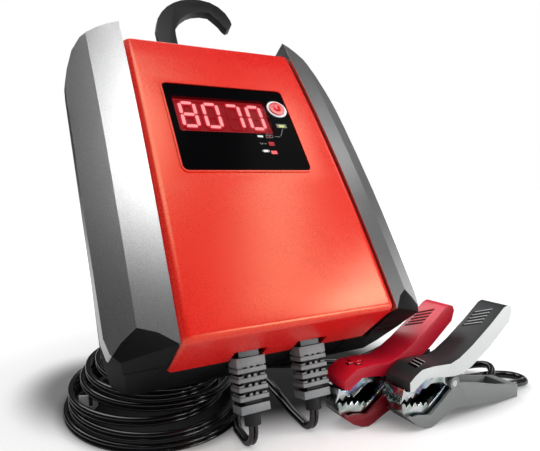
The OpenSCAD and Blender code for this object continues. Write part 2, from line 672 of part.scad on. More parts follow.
// ---------- clamp leads ----------
clamp_dir = [cos(2), sin(2), 0];
black_at = [102.3, -98.4];
red_at = [63.9, -74.7];
tail_x = 101;
clamp_z = clamp_lead_d / 2 - 0.5;
function tail(at) = [at[0] + tail_x * clamp_dir[0], at[1] + tail_x * clamp_dir[1], 5.4];
black_mid = [[188.55, -9.05, 4.5], [186, -11.6, 4.5], [177, -24, clamp_z], [173, -40, clamp_z], [180, -56, clamp_z],
  [200, -64, clamp_z], [220, -68, clamp_z], [233, -76, clamp_z], [236, -86, 3], [229, -95, 4], [216, -96.2, 5.2],
  [209, -95.2, 5.4]];
red_mid = [[193.95, -14.45, 4.5], [191.4, -17, 4.5], [187, -26, clamp_z], [190, -38, clamp_z], [202, -45, 4],
  [214, -51, 7], [220, -61, 9.8], [217.5, -70, 9.8], [208, -77, 6.5], [194, -77.6, 4], [182, -74.5, 4.6], [171, -71.2, 5.4]];

module clamp_lead_black() {
  color("black") sweep(concat(open_curve(black_mid, 3), [tail(black_at)]), ring_pts(clamp_lead_d / 2, 10), [], 0);
}

module clamp_lead_red() {
  color("black") sweep(concat(open_curve(red_mid, 3), [tail(red_at)]), ring_pts(clamp_lead_d / 2, 10), [], 0);
}

// ---------- clamps ----------
pivot = [25, 28];
jaw_out = clamp_w / 2 - 2.4;
upper_pts = [[-21.5, 38.4], [-16, 42.3], [-9.6, 45.4], [2.9, 45.6], [19.8, 44.1], [29.2, 46.6], [42.8, 53.6],
  [62.6, 65.9], [80, 78.2], [84.5, 79.4], [88, 78.4], [89.8, 74.4], [87.1, 66.2], [64.8, 49.8], [43.5, 37.8],
  [34, 34], [24.3, 33.8], [16.2, 34.8], [3.1, 37.2], [-5.7, 37.7], [-11.8, 34.5], [-17.7, 30.8], [-21.3, 32.1]];
lower_pts = [[25.7, 28.2], [49.7, 23.1], [73.8, 16.3], [tail_x, 10.9], [tail_x, 0.4], [74.5, 1.3], [45, 5.6],
  [30.4, 8.9], [22, 7.8], [14.4, 5.2], [6, 1.6], [0.2, 0], [-6, 1.2], [-13.6, 4.9], [-20.9, 11.3], [-12.5, 11.9],
  [-1.2, 9.5], [11.4, 17.2], [22, 25]];
upper_jaw_pts = [[-24.9, 33.2], [-22.5, 31], [-17.6, 30.2], [-12, 33.8], [-10, 38], [-6, 41.9], [2.9, 41.9],
  [19.8, 40.5], [27, 33.5], [29.2, 28], [25, 23.8], [20, 26], [14, 30.5], [8, 31.5], [2, 32], [-3, 29.5],
  [-7, 30.2], [-10.5, 26.8], [-13.5, 28.8], [-16.5, 25], [-19, 27.2], [-22, 23.8], [-24.5, 26.5], [-28.2, 23.2]];
upper_jaw_in = [[-26.8, 10], [-26.7, 22.5], [-24, 30.6], [-21.5, 29.6], [-16.8, 28.7], [-11, 32.4], [-8.8, 37],
  [-5.2, 40.5], [2.8, 40.5], [19, 39.2], [25.5, 33], [45, 33], [45, 10]];
lower_jaw_pts = [[-24.5, 22], [-23.6, 14.5], [-21.6, 12.2], [-17.9, 11.9], [-13.6, 8.1], [-6, 4.4], [0.2, 3.2],
  [6, 4.8], [14.4, 8.4], [22, 11], [29, 20], [30.5, 28], [27.5, 32.4], [22.5, 32.4], [19.5, 27], [12, 21.5], [5, 17],
  [1.5, 14.5], [-1, 18.2], [-4, 15.8], [-6.5, 19.6], [-9.5, 16.8], [-12, 20.4], [-15, 17.4], [-17.5, 21],
  [-20.5, 18.2], [-22, 21.6]];
lower_jaw_in = [[-22.9, 40], [-22.2, 15.4], [-21, 13.6], [-17.3, 13.3], [-13, 9.6], [-6, 5.9], [0.4, 4.7],
  [5.6, 6.2], [13.9, 9.8], [21, 12.4], [27.5, 21], [50, 22.5], [50, 40]];

module slab(pts, half) {
  translate([0, half, 0]) rotate([90, 0, 0]) linear_extrude(2 * half) polygon(pts);
}

module at_clamp(at) {
  translate([at[0], at[1], 0]) rotate([0, 0, 2]) children();
}

module pivot_bore(r) {
  translate([pivot[0], 40, pivot[1]]) rotate([90, 0, 0]) cylinder(r = r, h = 80);
}

module upper_handle() {
  difference() {
    slab(upper_pts, clamp_w / 2);
    intersection() {
      translate([-2.6, 0, -3.2]) slab(upper_pts, jaw_out);
      translate([2.6, 0, -3.2]) slab(upper_pts, jaw_out);
    }
    intersection() {
      slab([[-19, 20], [-19, 36.5], [-10, 41], [2.9, 42.4], [19.8, 40.9], [60, 60], [60, 20]], jaw_out);
      translate([0, 0, -3.2]) slab(upper_pts, jaw_out);
    }
    for (i = [0 : 4]) translate([55 + i * 5, 0, 60.6 + i * 3.45]) rotate([0, -34, 0])
      translate([-1, -7, 0.6]) cube([2, 14, 3]);
  }
}

module lower_handle() {
  difference() {
    union() {
      slab(lower_pts, clamp_w / 2);
      translate([pivot[0], clamp_w / 2, pivot[1]]) rotate([90, 0, 0]) cylinder(r = 5, h = clamp_w);
    }
    intersection() {
      translate([0, 0, 3.2]) slab(lower_pts, jaw_out);
      translate([-30, -20, -10]) cube([tail_x + 30 - 12, 40, 60]);
    }
    translate([pivot[0] - 6, -jaw_out, pivot[1] - 7]) cube([12, 2 * jaw_out, 20]);
    pivot_bore(clamp_pin_r + 0.02);
  }
}

module front_teeth(s, z) {
  for (y = [-5.6, -1.9, 1.9, 5.6]) translate([s, y, z]) rotate([0, 90, 0]) cylinder(r = 1.7, h = 8, $fn = 4, center = true);
}

module upper_jaw() {
  difference() {
    slab(upper_jaw_pts, jaw_out);
    slab(upper_jaw_in, jaw_out - jaw_t);
    front_teeth(-27.5, 23);
    pivot_bore(clamp_pin_r + run_gap);
  }
}

module lower_jaw() {
  difference() {
    slab(lower_jaw_pts, jaw_out - jaw_t - fit);
    slab(lower_jaw_in, jaw_out - 2 * jaw_t - fit);
    front_teeth(-23.5, 22.2);
    pivot_bore(clamp_pin_r + 0.02);
  }
}

module pivot_pin() {
  translate([pivot[0], clamp_w / 2 - 0.1, pivot[1]]) rotate([90, 0, 0]) cylinder(r = clamp_pin_r, h = clamp_w - 0.2);
}

module clamp_spring() {
  r = clamp_pin_r + 1.6;
  sweep(concat([[pivot[0] + 15, -5, pivot[1] - 8], [pivot[0] + 6, -5, pivot[1] - 5.2]],
    [for (i = [0 : 51]) let(a = -65 + i * 30) [pivot[0] + r * cos(a), -4.9 + i * 0.187, pivot[1] + r * sin(a)]],
    [[pivot[0] + 9.5, 4.7, pivot[1] + 8]]), ring_pts(0.6, 6),
    [for (i = [0 : 54]) [0, 1, 0]]);
}

module red_upper_handle() { color("red") at_clamp(red_at) upper_handle(); }
module red_lower_handle() { color("darkred") at_clamp(red_at) lower_handle(); }
module red_upper_jaw() { color("silver") at_clamp(red_at) upper_jaw(); }
module red_lower_jaw() { color("silver") at_clamp(red_at) lower_jaw(); }
module red_pivot_pin() { color("gray") at_clamp(red_at) pivot_pin(); }
module red_spring() { color("gray") at_clamp(red_at) clamp_spring(); }
module black_upper_handle() { color("dimgray") at_clamp(black_at) upper_handle(); }
module black_lower_handle() { color("dimgray") at_clamp(black_at) lower_handle(); }
module black_upper_jaw() { color("silver") at_clamp(black_at) upper_jaw(); }
module black_lower_jaw() { color("silver") at_clamp(black_at) lower_jaw(); }
module black_pivot_pin() { color("gray") at_clamp(black_at) pivot_pin(); }
module black_spring() { color("gray") at_clamp(black_at) clamp_spring(); }

front_cover();
back_shell();
side_panel_left();
side_panel_right();
control_panel();
display_window();
display_module();
button_ring();
button_cap();
button_spring();
tact_switch();
lamp_yellow();
lamp_red();
control_board();
power_board();
transformer_core();
transformer_winding();
heat_sink();
capacitors();
cover_screws();
board_screws();
hook();
hook_pin();
hook_washers();
strain_relief_mains();
strain_relief_output();
mains_lead();
mains_plug();
plug_blades();
mains_tie();
output_lead();
output_tie();
lead_splitter();
clamp_lead_red();
clamp_lead_black();
red_upper_handle();
red_lower_handle();
red_upper_jaw();
red_lower_jaw();
red_pivot_pin();
red_spring();
black_upper_handle();
black_lower_handle();
black_upper_jaw();
black_lower_jaw();
black_pivot_pin();
black_spring();
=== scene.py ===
# %% [markdown]
# # A car battery charger
# A wall-hanging charger leans on its own coiled leads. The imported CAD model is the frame: it
# gives every piece its place and size. Blender adds rounded edges, the leads' real section,
# the lit display and the finishes.

# %% Load the frame
import json
import math

import bmesh
import bpy
from mathutils import Matrix, Vector
from mathutils.bvhtree import BVHTree


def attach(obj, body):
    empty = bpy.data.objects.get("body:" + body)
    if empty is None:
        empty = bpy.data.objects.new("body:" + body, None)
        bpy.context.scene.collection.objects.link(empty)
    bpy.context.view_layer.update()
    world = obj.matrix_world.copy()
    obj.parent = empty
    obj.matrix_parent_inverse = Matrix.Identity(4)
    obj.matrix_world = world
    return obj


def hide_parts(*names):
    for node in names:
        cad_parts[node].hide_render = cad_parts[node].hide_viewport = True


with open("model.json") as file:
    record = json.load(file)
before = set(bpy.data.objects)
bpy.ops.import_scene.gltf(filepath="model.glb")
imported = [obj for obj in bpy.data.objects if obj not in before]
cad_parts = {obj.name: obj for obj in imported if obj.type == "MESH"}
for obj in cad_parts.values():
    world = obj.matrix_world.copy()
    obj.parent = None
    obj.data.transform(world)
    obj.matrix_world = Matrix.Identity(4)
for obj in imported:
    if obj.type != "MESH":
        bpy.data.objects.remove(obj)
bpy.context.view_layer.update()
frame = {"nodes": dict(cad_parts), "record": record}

nodes = frame["nodes"]
record = frame["record"]
slot_of = {row["node"]: row["material_slot"] for row in record["subparts"]}
body_of = {node_name: body for body, members in record["behaviour"]["bodies"].items()
           for node_name in members}

# %% [markdown]
# ## Camera
# The charger is seen from the height of its middle, from its left front and from close by. The
# camera is built from its three axes, because these say exactly where it looks.

# %% Camera
camera_spot = Vector((-0.16232, -0.36485, 0.17968))
view_right = Vector((0.8838, -0.4677, -0.0108)).normalized()
view_ahead = Vector((0.4651, 0.8809, -0.0872)).normalized()
view_up = view_right.cross(view_ahead).normalized()
camera_data = bpy.data.cameras.new("camera")
camera_data.sensor_width = 36.0
camera_data.lens = 33.26
camera = bpy.data.objects.new("camera", camera_data)
bpy.context.scene.collection.objects.link(camera)
view_axes = Matrix((view_right, view_up, -view_ahead)).transposed().to_4x4()
camera.matrix_world = Matrix.Translation(camera_spot) @ view_axes
bpy.context.scene.camera = camera
bpy.context.scene.view_settings.view_transform = "Standard"
print("camera at", tuple(round(v, 3) for v in camera.location))

# %% [markdown]
# ## Small tools
# Blender's operators act on whatever is selected, so every step starts by selecting one object
# alone. The case leans back by 31.1 degrees, so a helper turns points that are measured on the
# upright case, in millimetres, into points of the scene.

# %% Selection and places
mm = 0.001
lean = math.radians(31.1)
bow_radius = 1700.0
case_foot = (0, -0.1, 0.0902)
case_place = Matrix.Translation(case_foot) @ Matrix.Rotation(-lean, 4, "X")


def only(obj):
    if bpy.context.object and bpy.context.object.mode != "OBJECT":
        bpy.ops.object.mode_set(mode="OBJECT")
    bpy.ops.object.select_all(action="DESELECT")
    obj.select_set(True)
    bpy.context.view_layer.objects.active = obj


def bow(z):
    return bow_radius - math.sqrt(bow_radius ** 2 - z ** 2)


def face_place(x, z, lift=0.0):
    """The place on the bowed face at (x, z), with its local -Y pointing out of the face."""
    turn = math.asin(z / bow_radius)
    here = Matrix.Translation((x * mm, bow(z) * mm, z * mm))
    return (case_place @ here @ Matrix.Rotation(-turn, 4, "X")
            @ Matrix.Translation((0, -lift * mm, 0)))


def case_mm(x, y, z):
    """A point of the upright case as a point of the scene, both in millimetres."""
    return (case_place @ Vector((x * mm, y * mm, z * mm))) / mm


print("middle of the face at", tuple(round(v, 3) for v in face_place(0, 125).to_translation()))

# %% [markdown]
# ## The twin leads
# Both leads are flat twin cable: two round cores side by side with a groove between them. Each
# leaves its strain relief straight, bends under the case and is wound into a coil. A lead could
# be a curve with a bevel shape, but a flat section has to stay upright on every turn, so the
# section is carried along the route ring by ring. The route's points are the CAD model's own.

# %% Sizes of the leads and their strain reliefs
# in millimetres; floor_press is how much of a lead's underside the floor presses flat
lead_t, lead_h, lead_pitch = 3.6, 6.0, 6.6
floor_press, floor_gap = 0.5, 0.1
lead_rise = lead_h / 2 - floor_press
relief_x, relief_y, relief_z, relief_tilt = 24.0, 44.0, -6.0, math.radians(18)
relief_len, relief_stub, lead_seat = 36, 9, 1.5
relief_reach = relief_len + relief_stub - lead_seat
print("a lead that lies on the floor has its middle at", lead_rise, "mm")

# %% [markdown]
# The loose stretches are smooth lines through a few listed points. The coil's turns are ovals, one
# row of sizes for each level, and each turn starts with a short climb to the next level.

# %% Smooth lines and turns of the coil
# centre x, centre y, half width and half depth of the turns, one row for each level
rings_low = [(-61, 33, 68.5, 82.5), (-63, 34, 62.5, 80), (-66, 39, 59, 74), (-66, 39, 59, 74)]
rings_high = [(-56, 43, 59, 74), (-59, 44, 51.5, 72), (-54, 40, 49, 70), (-54, 40, 49, 70)]
wind_from, climb = -30, 160
wide_by, close_from, close_over = 7, 85, 50


def smooth(t):
    u = min(1.0, max(0.0, t))
    return u * u * (3 - 2 * u)


def open_curve(points, steps):
    """A smooth line through the points, with so many steps between two of them."""
    p = [Vector(v) for v in points]
    line, last = [], len(p) - 1
    for i in range(last):
        a, b, c, d = p[max(0, i - 1)], p[i], p[i + 1], p[min(last, i + 2)]
        for k in range(steps):
            t = k / steps
            line.append(0.5 * (2 * b + (c - a) * t + (2 * a - 5 * b + 4 * c - d) * t * t
                               + (3 * b - a - 3 * c + d) * t ** 3))
    return line + [p[last]]


def level(angle):
    """How many levels the winding has climbed. The first turn stays on the floor."""
    turned = angle - wind_from
    k = math.floor(turned / 360)
    return 0 if k < 1 else k - 1 + smooth((turned - 360 * k) / climb)


def coil_at(rings, base, angle, swell=0.0):
    """The middle of the lead at this angle of its winding, in millimetres."""
    climbed = level(angle)
    u = min(len(rings) - 1.001, max(0.0, climbed))
    k = math.floor(u)
    x, y, w, d = (a + (b - a) * (u - k) for a, b in zip(rings[k], rings[k + 1]))
    turn = math.radians(angle)
    return Vector((x + (w + swell) * math.cos(turn), y + (d + swell) * math.sin(turn),
                   lead_rise + lead_pitch * (base + climbed)))


def first_swell(angle):
    """The first turn starts wide of the coil and closes in after a third of its way."""
    return wide_by * (1 - smooth((angle - close_from) / close_over))


print("the coil climbs", round(level(1050), 2), "levels in three turns")

# %% [markdown]
# Out of its strain relief a lead runs straight for a moment and then follows a round bend that
# brings it flat to the floor.

# %% Exit from a strain relief
bend_steps = 6
case_corner = case_mm(0, 0, 0)
relief_out = (case_mm(0, math.sin(relief_tilt), -math.cos(relief_tilt)) - case_corner).normalized()


def exit_run(x):
    """From the mouth of a strain relief straight on, then round to the floor."""
    mouth = case_mm(x, relief_y + math.sin(relief_tilt) * relief_reach,
                    relief_z - math.cos(relief_tilt) * relief_reach)
    start = mouth + relief_out * lead_t
    radius = (start.z - lead_t / 2 - floor_gap) / (1 - relief_out.y)
    heading = math.degrees(math.atan2(relief_out.z, relief_out.y))
    centre = Vector((start.x, start.y - relief_out.z * radius, start.z + relief_out.y * radius))
    sweep = 270 - (heading - 90 + 360) % 360
    bend = [math.radians(heading - 90 + sweep * i / bend_steps)
            for i in range(1, bend_steps + 1)]
    return [mouth, start] + [centre + Vector((0, radius * math.cos(b), radius * math.sin(b)))
                             for b in bend]


print("a lead leaves its strain relief towards", tuple(round(v, 2) for v in relief_out))

# %% [markdown]
# The mains lead is wound three turns low down and ends at its plug. The output lead lies on top
# of it, and its end crosses the floor to the splitter by the clamps.

# %% Routes of the two leads
turn_step = 5
mains_wind_to, output_wind_from, output_wind_to, output_base = 1050, 130, 1015, 3
mains_mid = [(-23, -48, 2.3), (-19, -36, 2.5), (-12, -24, 2.5)]
mains_end = [(-4, 30, 14), (8, 58, 10), (24, 82, 9), (42, 97, 10.5), (62, 105, 11), (72, 106, 11)]
output_mid = [(24, -44, 4), (25, -22, 8), (25, 6, 13), (18, 40, 18.5), (0, 74, 22),
              (-24, 100, lead_rise + output_base * lead_pitch)]
output_end = [(-14, -19, 34.5), (14, -10, 31), (48, -6, 24), (84, 4, 15), (112, 15, 6.5),
              (134, 22, 3), (160, 29, 2.5), (186, 38, 2.5), (205, 40, 2.5), (218, 31, 2.5),
              (218, 17, 3.5), (211, 8, 4.5), (208.3, 5.3, 4.5)]
mains_route = (exit_run(-relief_x) + open_curve(mains_mid, 1)
               + [coil_at(rings_low, 0, angle, first_swell(angle))
                  for angle in range(wind_from, mains_wind_to + 1, turn_step)]
               + open_curve(mains_end, 3))
output_route = (exit_run(relief_x) + open_curve(output_mid, 3)
                + [coil_at(rings_high, output_base, angle)
                   for angle in range(output_wind_from, output_wind_to + 1, turn_step)]
                + open_curve(output_end, 3))


def length_of(route):
    return sum((b - a).length for a, b in zip(route, route[1:])) * mm


print("mains lead", round(length_of(mains_route), 3), "m, output lead",
      round(length_of(output_route), 3), "m")

# %% [markdown]
# ## Carrying a section along a route
# Every ring of the tube holds the section's points. Where the lead lies on the floor its
# underside is pressed flat. The two ends are closed, so the lead is a solid skin.

# %% Tubes
def twin_section(thick, high, waist=0.56, count=12):
    """Two round cores one above the other, joined by a narrower web."""
    core_swell, core_flat = 1.02, 0.98
    arc_from, arc_span = -62, 152
    r = high / 4 * core_swell
    half = []
    for i in range(count + 1):
        a = math.radians(arc_from + arc_span * i / count)
        half.append((r * math.cos(a) * thick / (2 * r), high / 4 + r * math.sin(a) * core_flat))
    right_side = [(thick / 2 * waist, 0.0)] + half
    left_side = [(-x, z) for x, z in reversed(right_side[1:-1])]
    top = right_side + left_side
    return top + [(-thick / 2 * waist, 0.0)] + [(x, -z) for x, z in reversed(top[1:])]


def round_section(diameter, count=20):
    return [(diameter / 2 * math.cos(2 * math.pi * k / count),
             diameter / 2 * math.sin(2 * math.pi * k / count)) for k in range(count)]


def tube(name, route, section, side_of):
    """A closed tube along the route. side_of(i) is the way of the section's second axis."""
    mesh_tool = bmesh.new()
    rings = []
    last = len(route) - 1
    for i, point in enumerate(route):
        along = (route[min(i + 1, last)] - route[max(i - 1, 0)]).normalized()
        across = along.cross(side_of(i)).normalized()
        upward = across.cross(along)
        ring = []
        for u, v in section:
            q = point + across * u + upward * v
            ring.append(mesh_tool.verts.new((q.x * mm, q.y * mm, max(q.z, 0.0) * mm)))
        rings.append(ring)
    count = len(section)
    for a, b in zip(rings, rings[1:]):
        for k in range(count):
            j = (k + 1) % count
            mesh_tool.faces.new((a[k], a[j], b[j], b[k]))
    mesh_tool.faces.new(rings[0][::-1])
    mesh_tool.faces.new(rings[-1])
    bmesh.ops.recalc_face_normals(mesh_tool, faces=mesh_tool.faces[:])
    mesh = bpy.data.meshes.new(name)
    mesh_tool.to_mesh(mesh)
    mesh_tool.free()
    obj = bpy.data.objects.new(name, mesh)
    bpy.context.scene.collection.objects.link(obj)
    only(obj)
    bpy.ops.object.shade_smooth_by_angle(angle=math.radians(50))
    return obj


def twisting(span):
    """Wide side across the relief for the straight run and the bend, then upright."""
    def side(i):
        f = smooth((i - bend_steps - 2) / span)
        return Vector((1 - f, 0, f)).normalized()
    return side


lead_section = twin_section(thick=4.6, high=6.4)
mains_lead = tube("mains_cable", mains_route, lead_section, twisting(span=5))
output_lead = tube("output_cable", output_route, lead_section, twisting(span=7))
print("leads of", len(mains_lead.data.polygons), "and", len(output_lead.data.polygons), "faces")

# %% [markdown]
# ## The clamp leads
# Behind the splitter each core runs on alone to its clamp, in a loose loop behind the handles.

# %% Clamp leads
clamp_lead_d = 6.4
clamp_z = clamp_lead_d / 2 - floor_press
red_at, black_at = (63.9, -74.7), (102.3, -98.4)
clamp_turn = math.radians(2)
tail_reach, tail_z = 101, 5.4
black_mid = [(188.55, -9.05, 4.5), (186, -11.6, 4.5), (177, -24, clamp_z), (173, -40, clamp_z),
             (180, -56, clamp_z), (200, -64, clamp_z), (220, -68, clamp_z), (233, -76, clamp_z),
             (236, -86, 3), (229, -95, 4), (216, -96.2, 5.2), (209, -95.2, 5.4)]
red_mid = [(193.95, -14.45, 4.5), (191.4, -17, 4.5), (187, -26, clamp_z), (190, -38, clamp_z),
           (202, -45, 4), (214, -51, 7), (220, -61, 9.8), (217.5, -70, 9.8), (208, -77, 6.5),
           (194, -77.6, 4), (182, -74.5, 4.6), (171, -71.2, 5.4)]


def tail(at):
    """Where a lead meets the tail of the clamp that stands at this place."""
    return Vector((at[0] + tail_reach * math.cos(clamp_turn),
                   at[1] + tail_reach * math.sin(clamp_turn), tail_z))


def upright(i):
    return Vector((0, 0, 1))


clamp_leads = {}
for colour, points, at in (("red", red_mid, red_at), ("black", black_mid, black_at)):
    route = open_curve(points, 5) + [tail(at)]
    cable = tube(colour + "_clamp_cable", route, round_section(clamp_lead_d), upright)
    clamp_leads[colour] = (cable, route)
    print(cable.name, round(length_of(route), 3), "m")

# %% [markdown]
# ## Finishes
# A material is a tree of nodes and links. Three small helpers keep the code short: one adds a
# socket to a group, one adds a node, and one adds a sum whose inputs are numbers or links.

# %% Node helpers
def socket(group, name, kind, value=None, out=False):
    item = group.interface.new_socket(name=name, in_out="OUTPUT" if out else "INPUT",
                                      socket_type=kind)
    if value is not None:
        item.default_value = value


def node(tree, kind, **values):
    made = tree.nodes.new(kind)
    for key, value in values.items():
        setattr(made, key, value)
    return made


def math_node(tree, operation, a, b, c=None):
    """A Math node whose inputs are numbers or other nodes' outputs."""
    made = node(tree, "ShaderNodeMath", operation=operation)
    for i, value in enumerate((a, b, c)):
        if value is None:
            continue
        if isinstance(value, (int, float)):
            made.inputs[i].default_value = value
        else:
            tree.links.new(value, made.inputs[i])
    return made.outputs[0]


# %% [markdown]
# Moulded plastic is never one flat colour: it has a fine grain from the mould, its tone drifts
# a little, and its gloss is uneven. One node group makes these three from the object's own
# coordinates, and each finish sets its own amounts.

# %% Shared surface group
moulded = bpy.data.node_groups.new("moulded_surface", "ShaderNodeTree")
for label, kind, value in (("Vector", "NodeSocketVector", None),
                           ("Color", "NodeSocketColor", (0.5, 0.5, 0.5, 1)),
                           ("Grain Scale", "NodeSocketFloat", 900.0),
                           ("Speckle", "NodeSocketFloat", 0.05),
                           ("Drift", "NodeSocketFloat", 0.08),
                           ("Roughness", "NodeSocketFloat", 0.4),
                           ("Gloss Spread", "NodeSocketFloat", 0.1)):
    socket(moulded, label, kind, value)
socket(moulded, "Color", "NodeSocketColor", out=True)
socket(moulded, "Roughness", "NodeSocketFloat", out=True)
socket(moulded, "Height", "NodeSocketFloat", out=True)

noise_middle = 0.5
given = node(moulded, "NodeGroupInput").outputs
result = node(moulded, "NodeGroupOutput").inputs
grain = node(moulded, "ShaderNodeTexNoise")
grain.inputs["Detail"].default_value = 2.0
moulded.links.new(given["Vector"], grain.inputs["Vector"])
moulded.links.new(given["Grain Scale"], grain.inputs["Scale"])
broad = node(moulded, "ShaderNodeTexNoise")
broad.inputs["Scale"].default_value = 14.0
broad.inputs["Detail"].default_value = 3.0
moulded.links.new(given["Vector"], broad.inputs["Vector"])
grain_signed = math_node(moulded, "SUBTRACT", grain.outputs[0], noise_middle)
broad_signed = math_node(moulded, "SUBTRACT", broad.outputs[0], noise_middle)
tone = math_node(moulded, "MULTIPLY_ADD", grain_signed, given["Speckle"], 1.0)
tone = math_node(moulded, "MULTIPLY_ADD", broad_signed, given["Drift"], tone)
scaled = node(moulded, "ShaderNodeVectorMath", operation="SCALE")
moulded.links.new(given["Color"], scaled.inputs[0])
moulded.links.new(tone, scaled.inputs["Scale"])
moulded.links.new(scaled.outputs[0], result["Color"])
gloss = math_node(moulded, "MULTIPLY_ADD", broad_signed, given["Gloss Spread"],
                  given["Roughness"])
gloss = math_node(moulded, "MULTIPLY_ADD", grain_signed, given["Gloss Spread"], gloss)
moulded.links.new(gloss, result["Roughness"])
moulded.links.new(grain.outputs[0], result["Height"])
print("group", moulded.name, "with", len(moulded.nodes), "nodes")

# %% [markdown]
# A helper builds one finish: the group drives colour, roughness and a shallow bump, and what is
# the same all over the piece sits on the shader's own sockets.

# %% Finish helper
def finish(name, color, rough=0.4, metal=0.0, grain=900.0, speckle=0.06, drift=0.08,
           spread=0.08, bump=0.08, depth=0.0001, **sockets):
    made = bpy.data.materials.new(name)
    made.use_nodes = True
    tree = made.node_tree
    shader = tree.nodes["Principled BSDF"]
    place = node(tree, "ShaderNodeTexCoord")
    skin = node(tree, "ShaderNodeGroup", node_tree=moulded)
    tree.links.new(place.outputs["Object"], skin.inputs["Vector"])
    skin.inputs["Color"].default_value = (*color, 1)
    for key, value in (("Grain Scale", grain), ("Speckle", speckle), ("Drift", drift),
                       ("Roughness", rough), ("Gloss Spread", spread)):
        skin.inputs[key].default_value = value
    tree.links.new(skin.outputs["Color"], shader.inputs["Base Color"])
    tree.links.new(skin.outputs["Roughness"], shader.inputs["Roughness"])
    dents = node(tree, "ShaderNodeBump")
    dents.inputs["Strength"].default_value = bump
    dents.inputs["Distance"].default_value = depth
    tree.links.new(skin.outputs["Height"], dents.inputs["Height"])
    tree.links.new(dents.outputs["Normal"], shader.inputs["Normal"])
    shader.inputs["Metallic"].default_value = metal
    for key, value in sockets.items():
        shader.inputs[key.replace("_", " ")].default_value = value
    made.diffuse_color = (*color, 1)
    return made


# %% [markdown]
# The case is satin red plastic between wings in silver paint, with a black back. The red's
# sheen is warm, so its mirrored light is tinted.

# %% Finishes of the case
finishes = {
    "red_gloss": finish("glossy_red_cover", (0.75, 0.010, 0.010), 0.28, grain=1500, speckle=0.24,
                        drift=0.05, bump=0.30, Specular_Tint=(1.0, 0.78, 0.40, 1),
                        Specular_IOR_Level=1.0, Coat_Weight=0.10, Coat_Roughness=0.24),
    "silver_paint": finish("silver_paint", (0.60, 0.60, 0.605), 0.31, 0.98, grain=1500,
                           speckle=0.70, drift=0.04, spread=0.04, bump=0.50),
    "black_plastic": finish("black_textured_plastic", (0.0050, 0.0050, 0.0055), 0.58, speckle=0.8,
                            grain=1500, bump=0.35, Specular_IOR_Level=0.12),
    "hook": finish("black_hook_plastic", (0.0030, 0.0030, 0.0034), 0.42, bump=0.1,
                   Specular_IOR_Level=0.30),
}
print(len(finishes), "finishes for the case")

# %% [markdown]
# The panel is a dark gloss sheet with a red window. Behind it the digits glow, each with a
# haze round it. The lamps have a faint glow of their own, and the button has a clear coat.

# %% Finishes of the panel
finishes.update({
    "panel_black": finish("panel_black", (0.0020, 0.0020, 0.0024), 0.16, speckle=0.3, spread=0.03,
                          bump=0.01, Specular_IOR_Level=0.008),
    "window": finish("red_window", (0.10, 0.002, 0.004), 0.08, spread=0.02, bump=0.01, Alpha=0.30,
                     Specular_IOR_Level=0.05),
    "display": finish("display_face", (0.05, 0.002, 0.003), 0.5, grain=420, speckle=0.8,
                      Emission_Color=(0.9, 0.010, 0.02, 1), Emission_Strength=0.48),
    "digit_lit": finish("lit_segment", (0.9, 0.3, 0.3), 0.4, Emission_Color=(1, 0.30, 0.32, 1),
                        Emission_Strength=2.1),
    "digit_glow": finish("glow_round_segments", (0.3, 0.01, 0.015), 0.5,
                         Emission_Color=(1, 0.02, 0.045, 1), Emission_Strength=0.55),
    "lamp_plate": finish("lamp_grey_plate", (0.16, 0.16, 0.13), 0.3, spread=0.03, bump=0.02),
    "ring": finish("button_ring_silver", (0.78, 0.78, 0.79), 0.30, 0.55, speckle=0.1, bump=0.05),
    "lamp_green": finish("lamp_yellow_green", (0.50, 0.52, 0.10), 0.25,
                         Emission_Color=(0.6, 0.62, 0.1, 1), Emission_Strength=0.25),
    "lamp_red": finish("lamp_red", (0.75, 0.02, 0.02), 0.2, Emission_Color=(1, 0.05, 0.05, 1),
                       Emission_Strength=0.35),
    "button": finish("button_red", (0.66, 0.010, 0.014), 0.14, spread=0.04, bump=0.02,
                     Coat_Weight=0.6, Coat_Roughness=0.06),
    "print_white": finish("white_print", (0.75, 0.75, 0.75), 0.5),
    "print_grey": finish("grey_print", (0.22, 0.22, 0.22), 0.5),
    "print_red": finish("red_print", (0.60, 0.02, 0.03), 0.5, Emission_Color=(1, 0.05, 0.05, 1),
                        Emission_Strength=0.15),
})
print(len(finishes), "finishes with the panel")

# %% [markdown]
# Inside are a green circuit board, copper, steel and aluminium. They are seen only through the
# slots or in an opened case, so plain metals and plastics do. The same steel is on the pins
# and springs outside, and the plug's blades are brass.

# %% Finishes of the inside and the small metal pieces
finishes.update({
    "board": finish("circuit_board", (0.02, 0.17, 0.06), 0.35, grain=300, speckle=0.5),
    "steel": finish("bright_steel", (0.62, 0.62, 0.63), 0.28, 1.0, speckle=0.12),
    "copper": finish("copper_winding", (0.72, 0.30, 0.12), 0.3, 1.0, speckle=0.2),
    "aluminium": finish("aluminium_fins", (0.75, 0.75, 0.76), 0.35, 1.0),
    "sleeve": finish("dark_blue_sleeve", (0.02, 0.04, 0.16), 0.3),
    "brass": finish("brass_blade", (0.72, 0.56, 0.28), 0.25, 1.0),
})
print(len(finishes), "finishes with the inside")
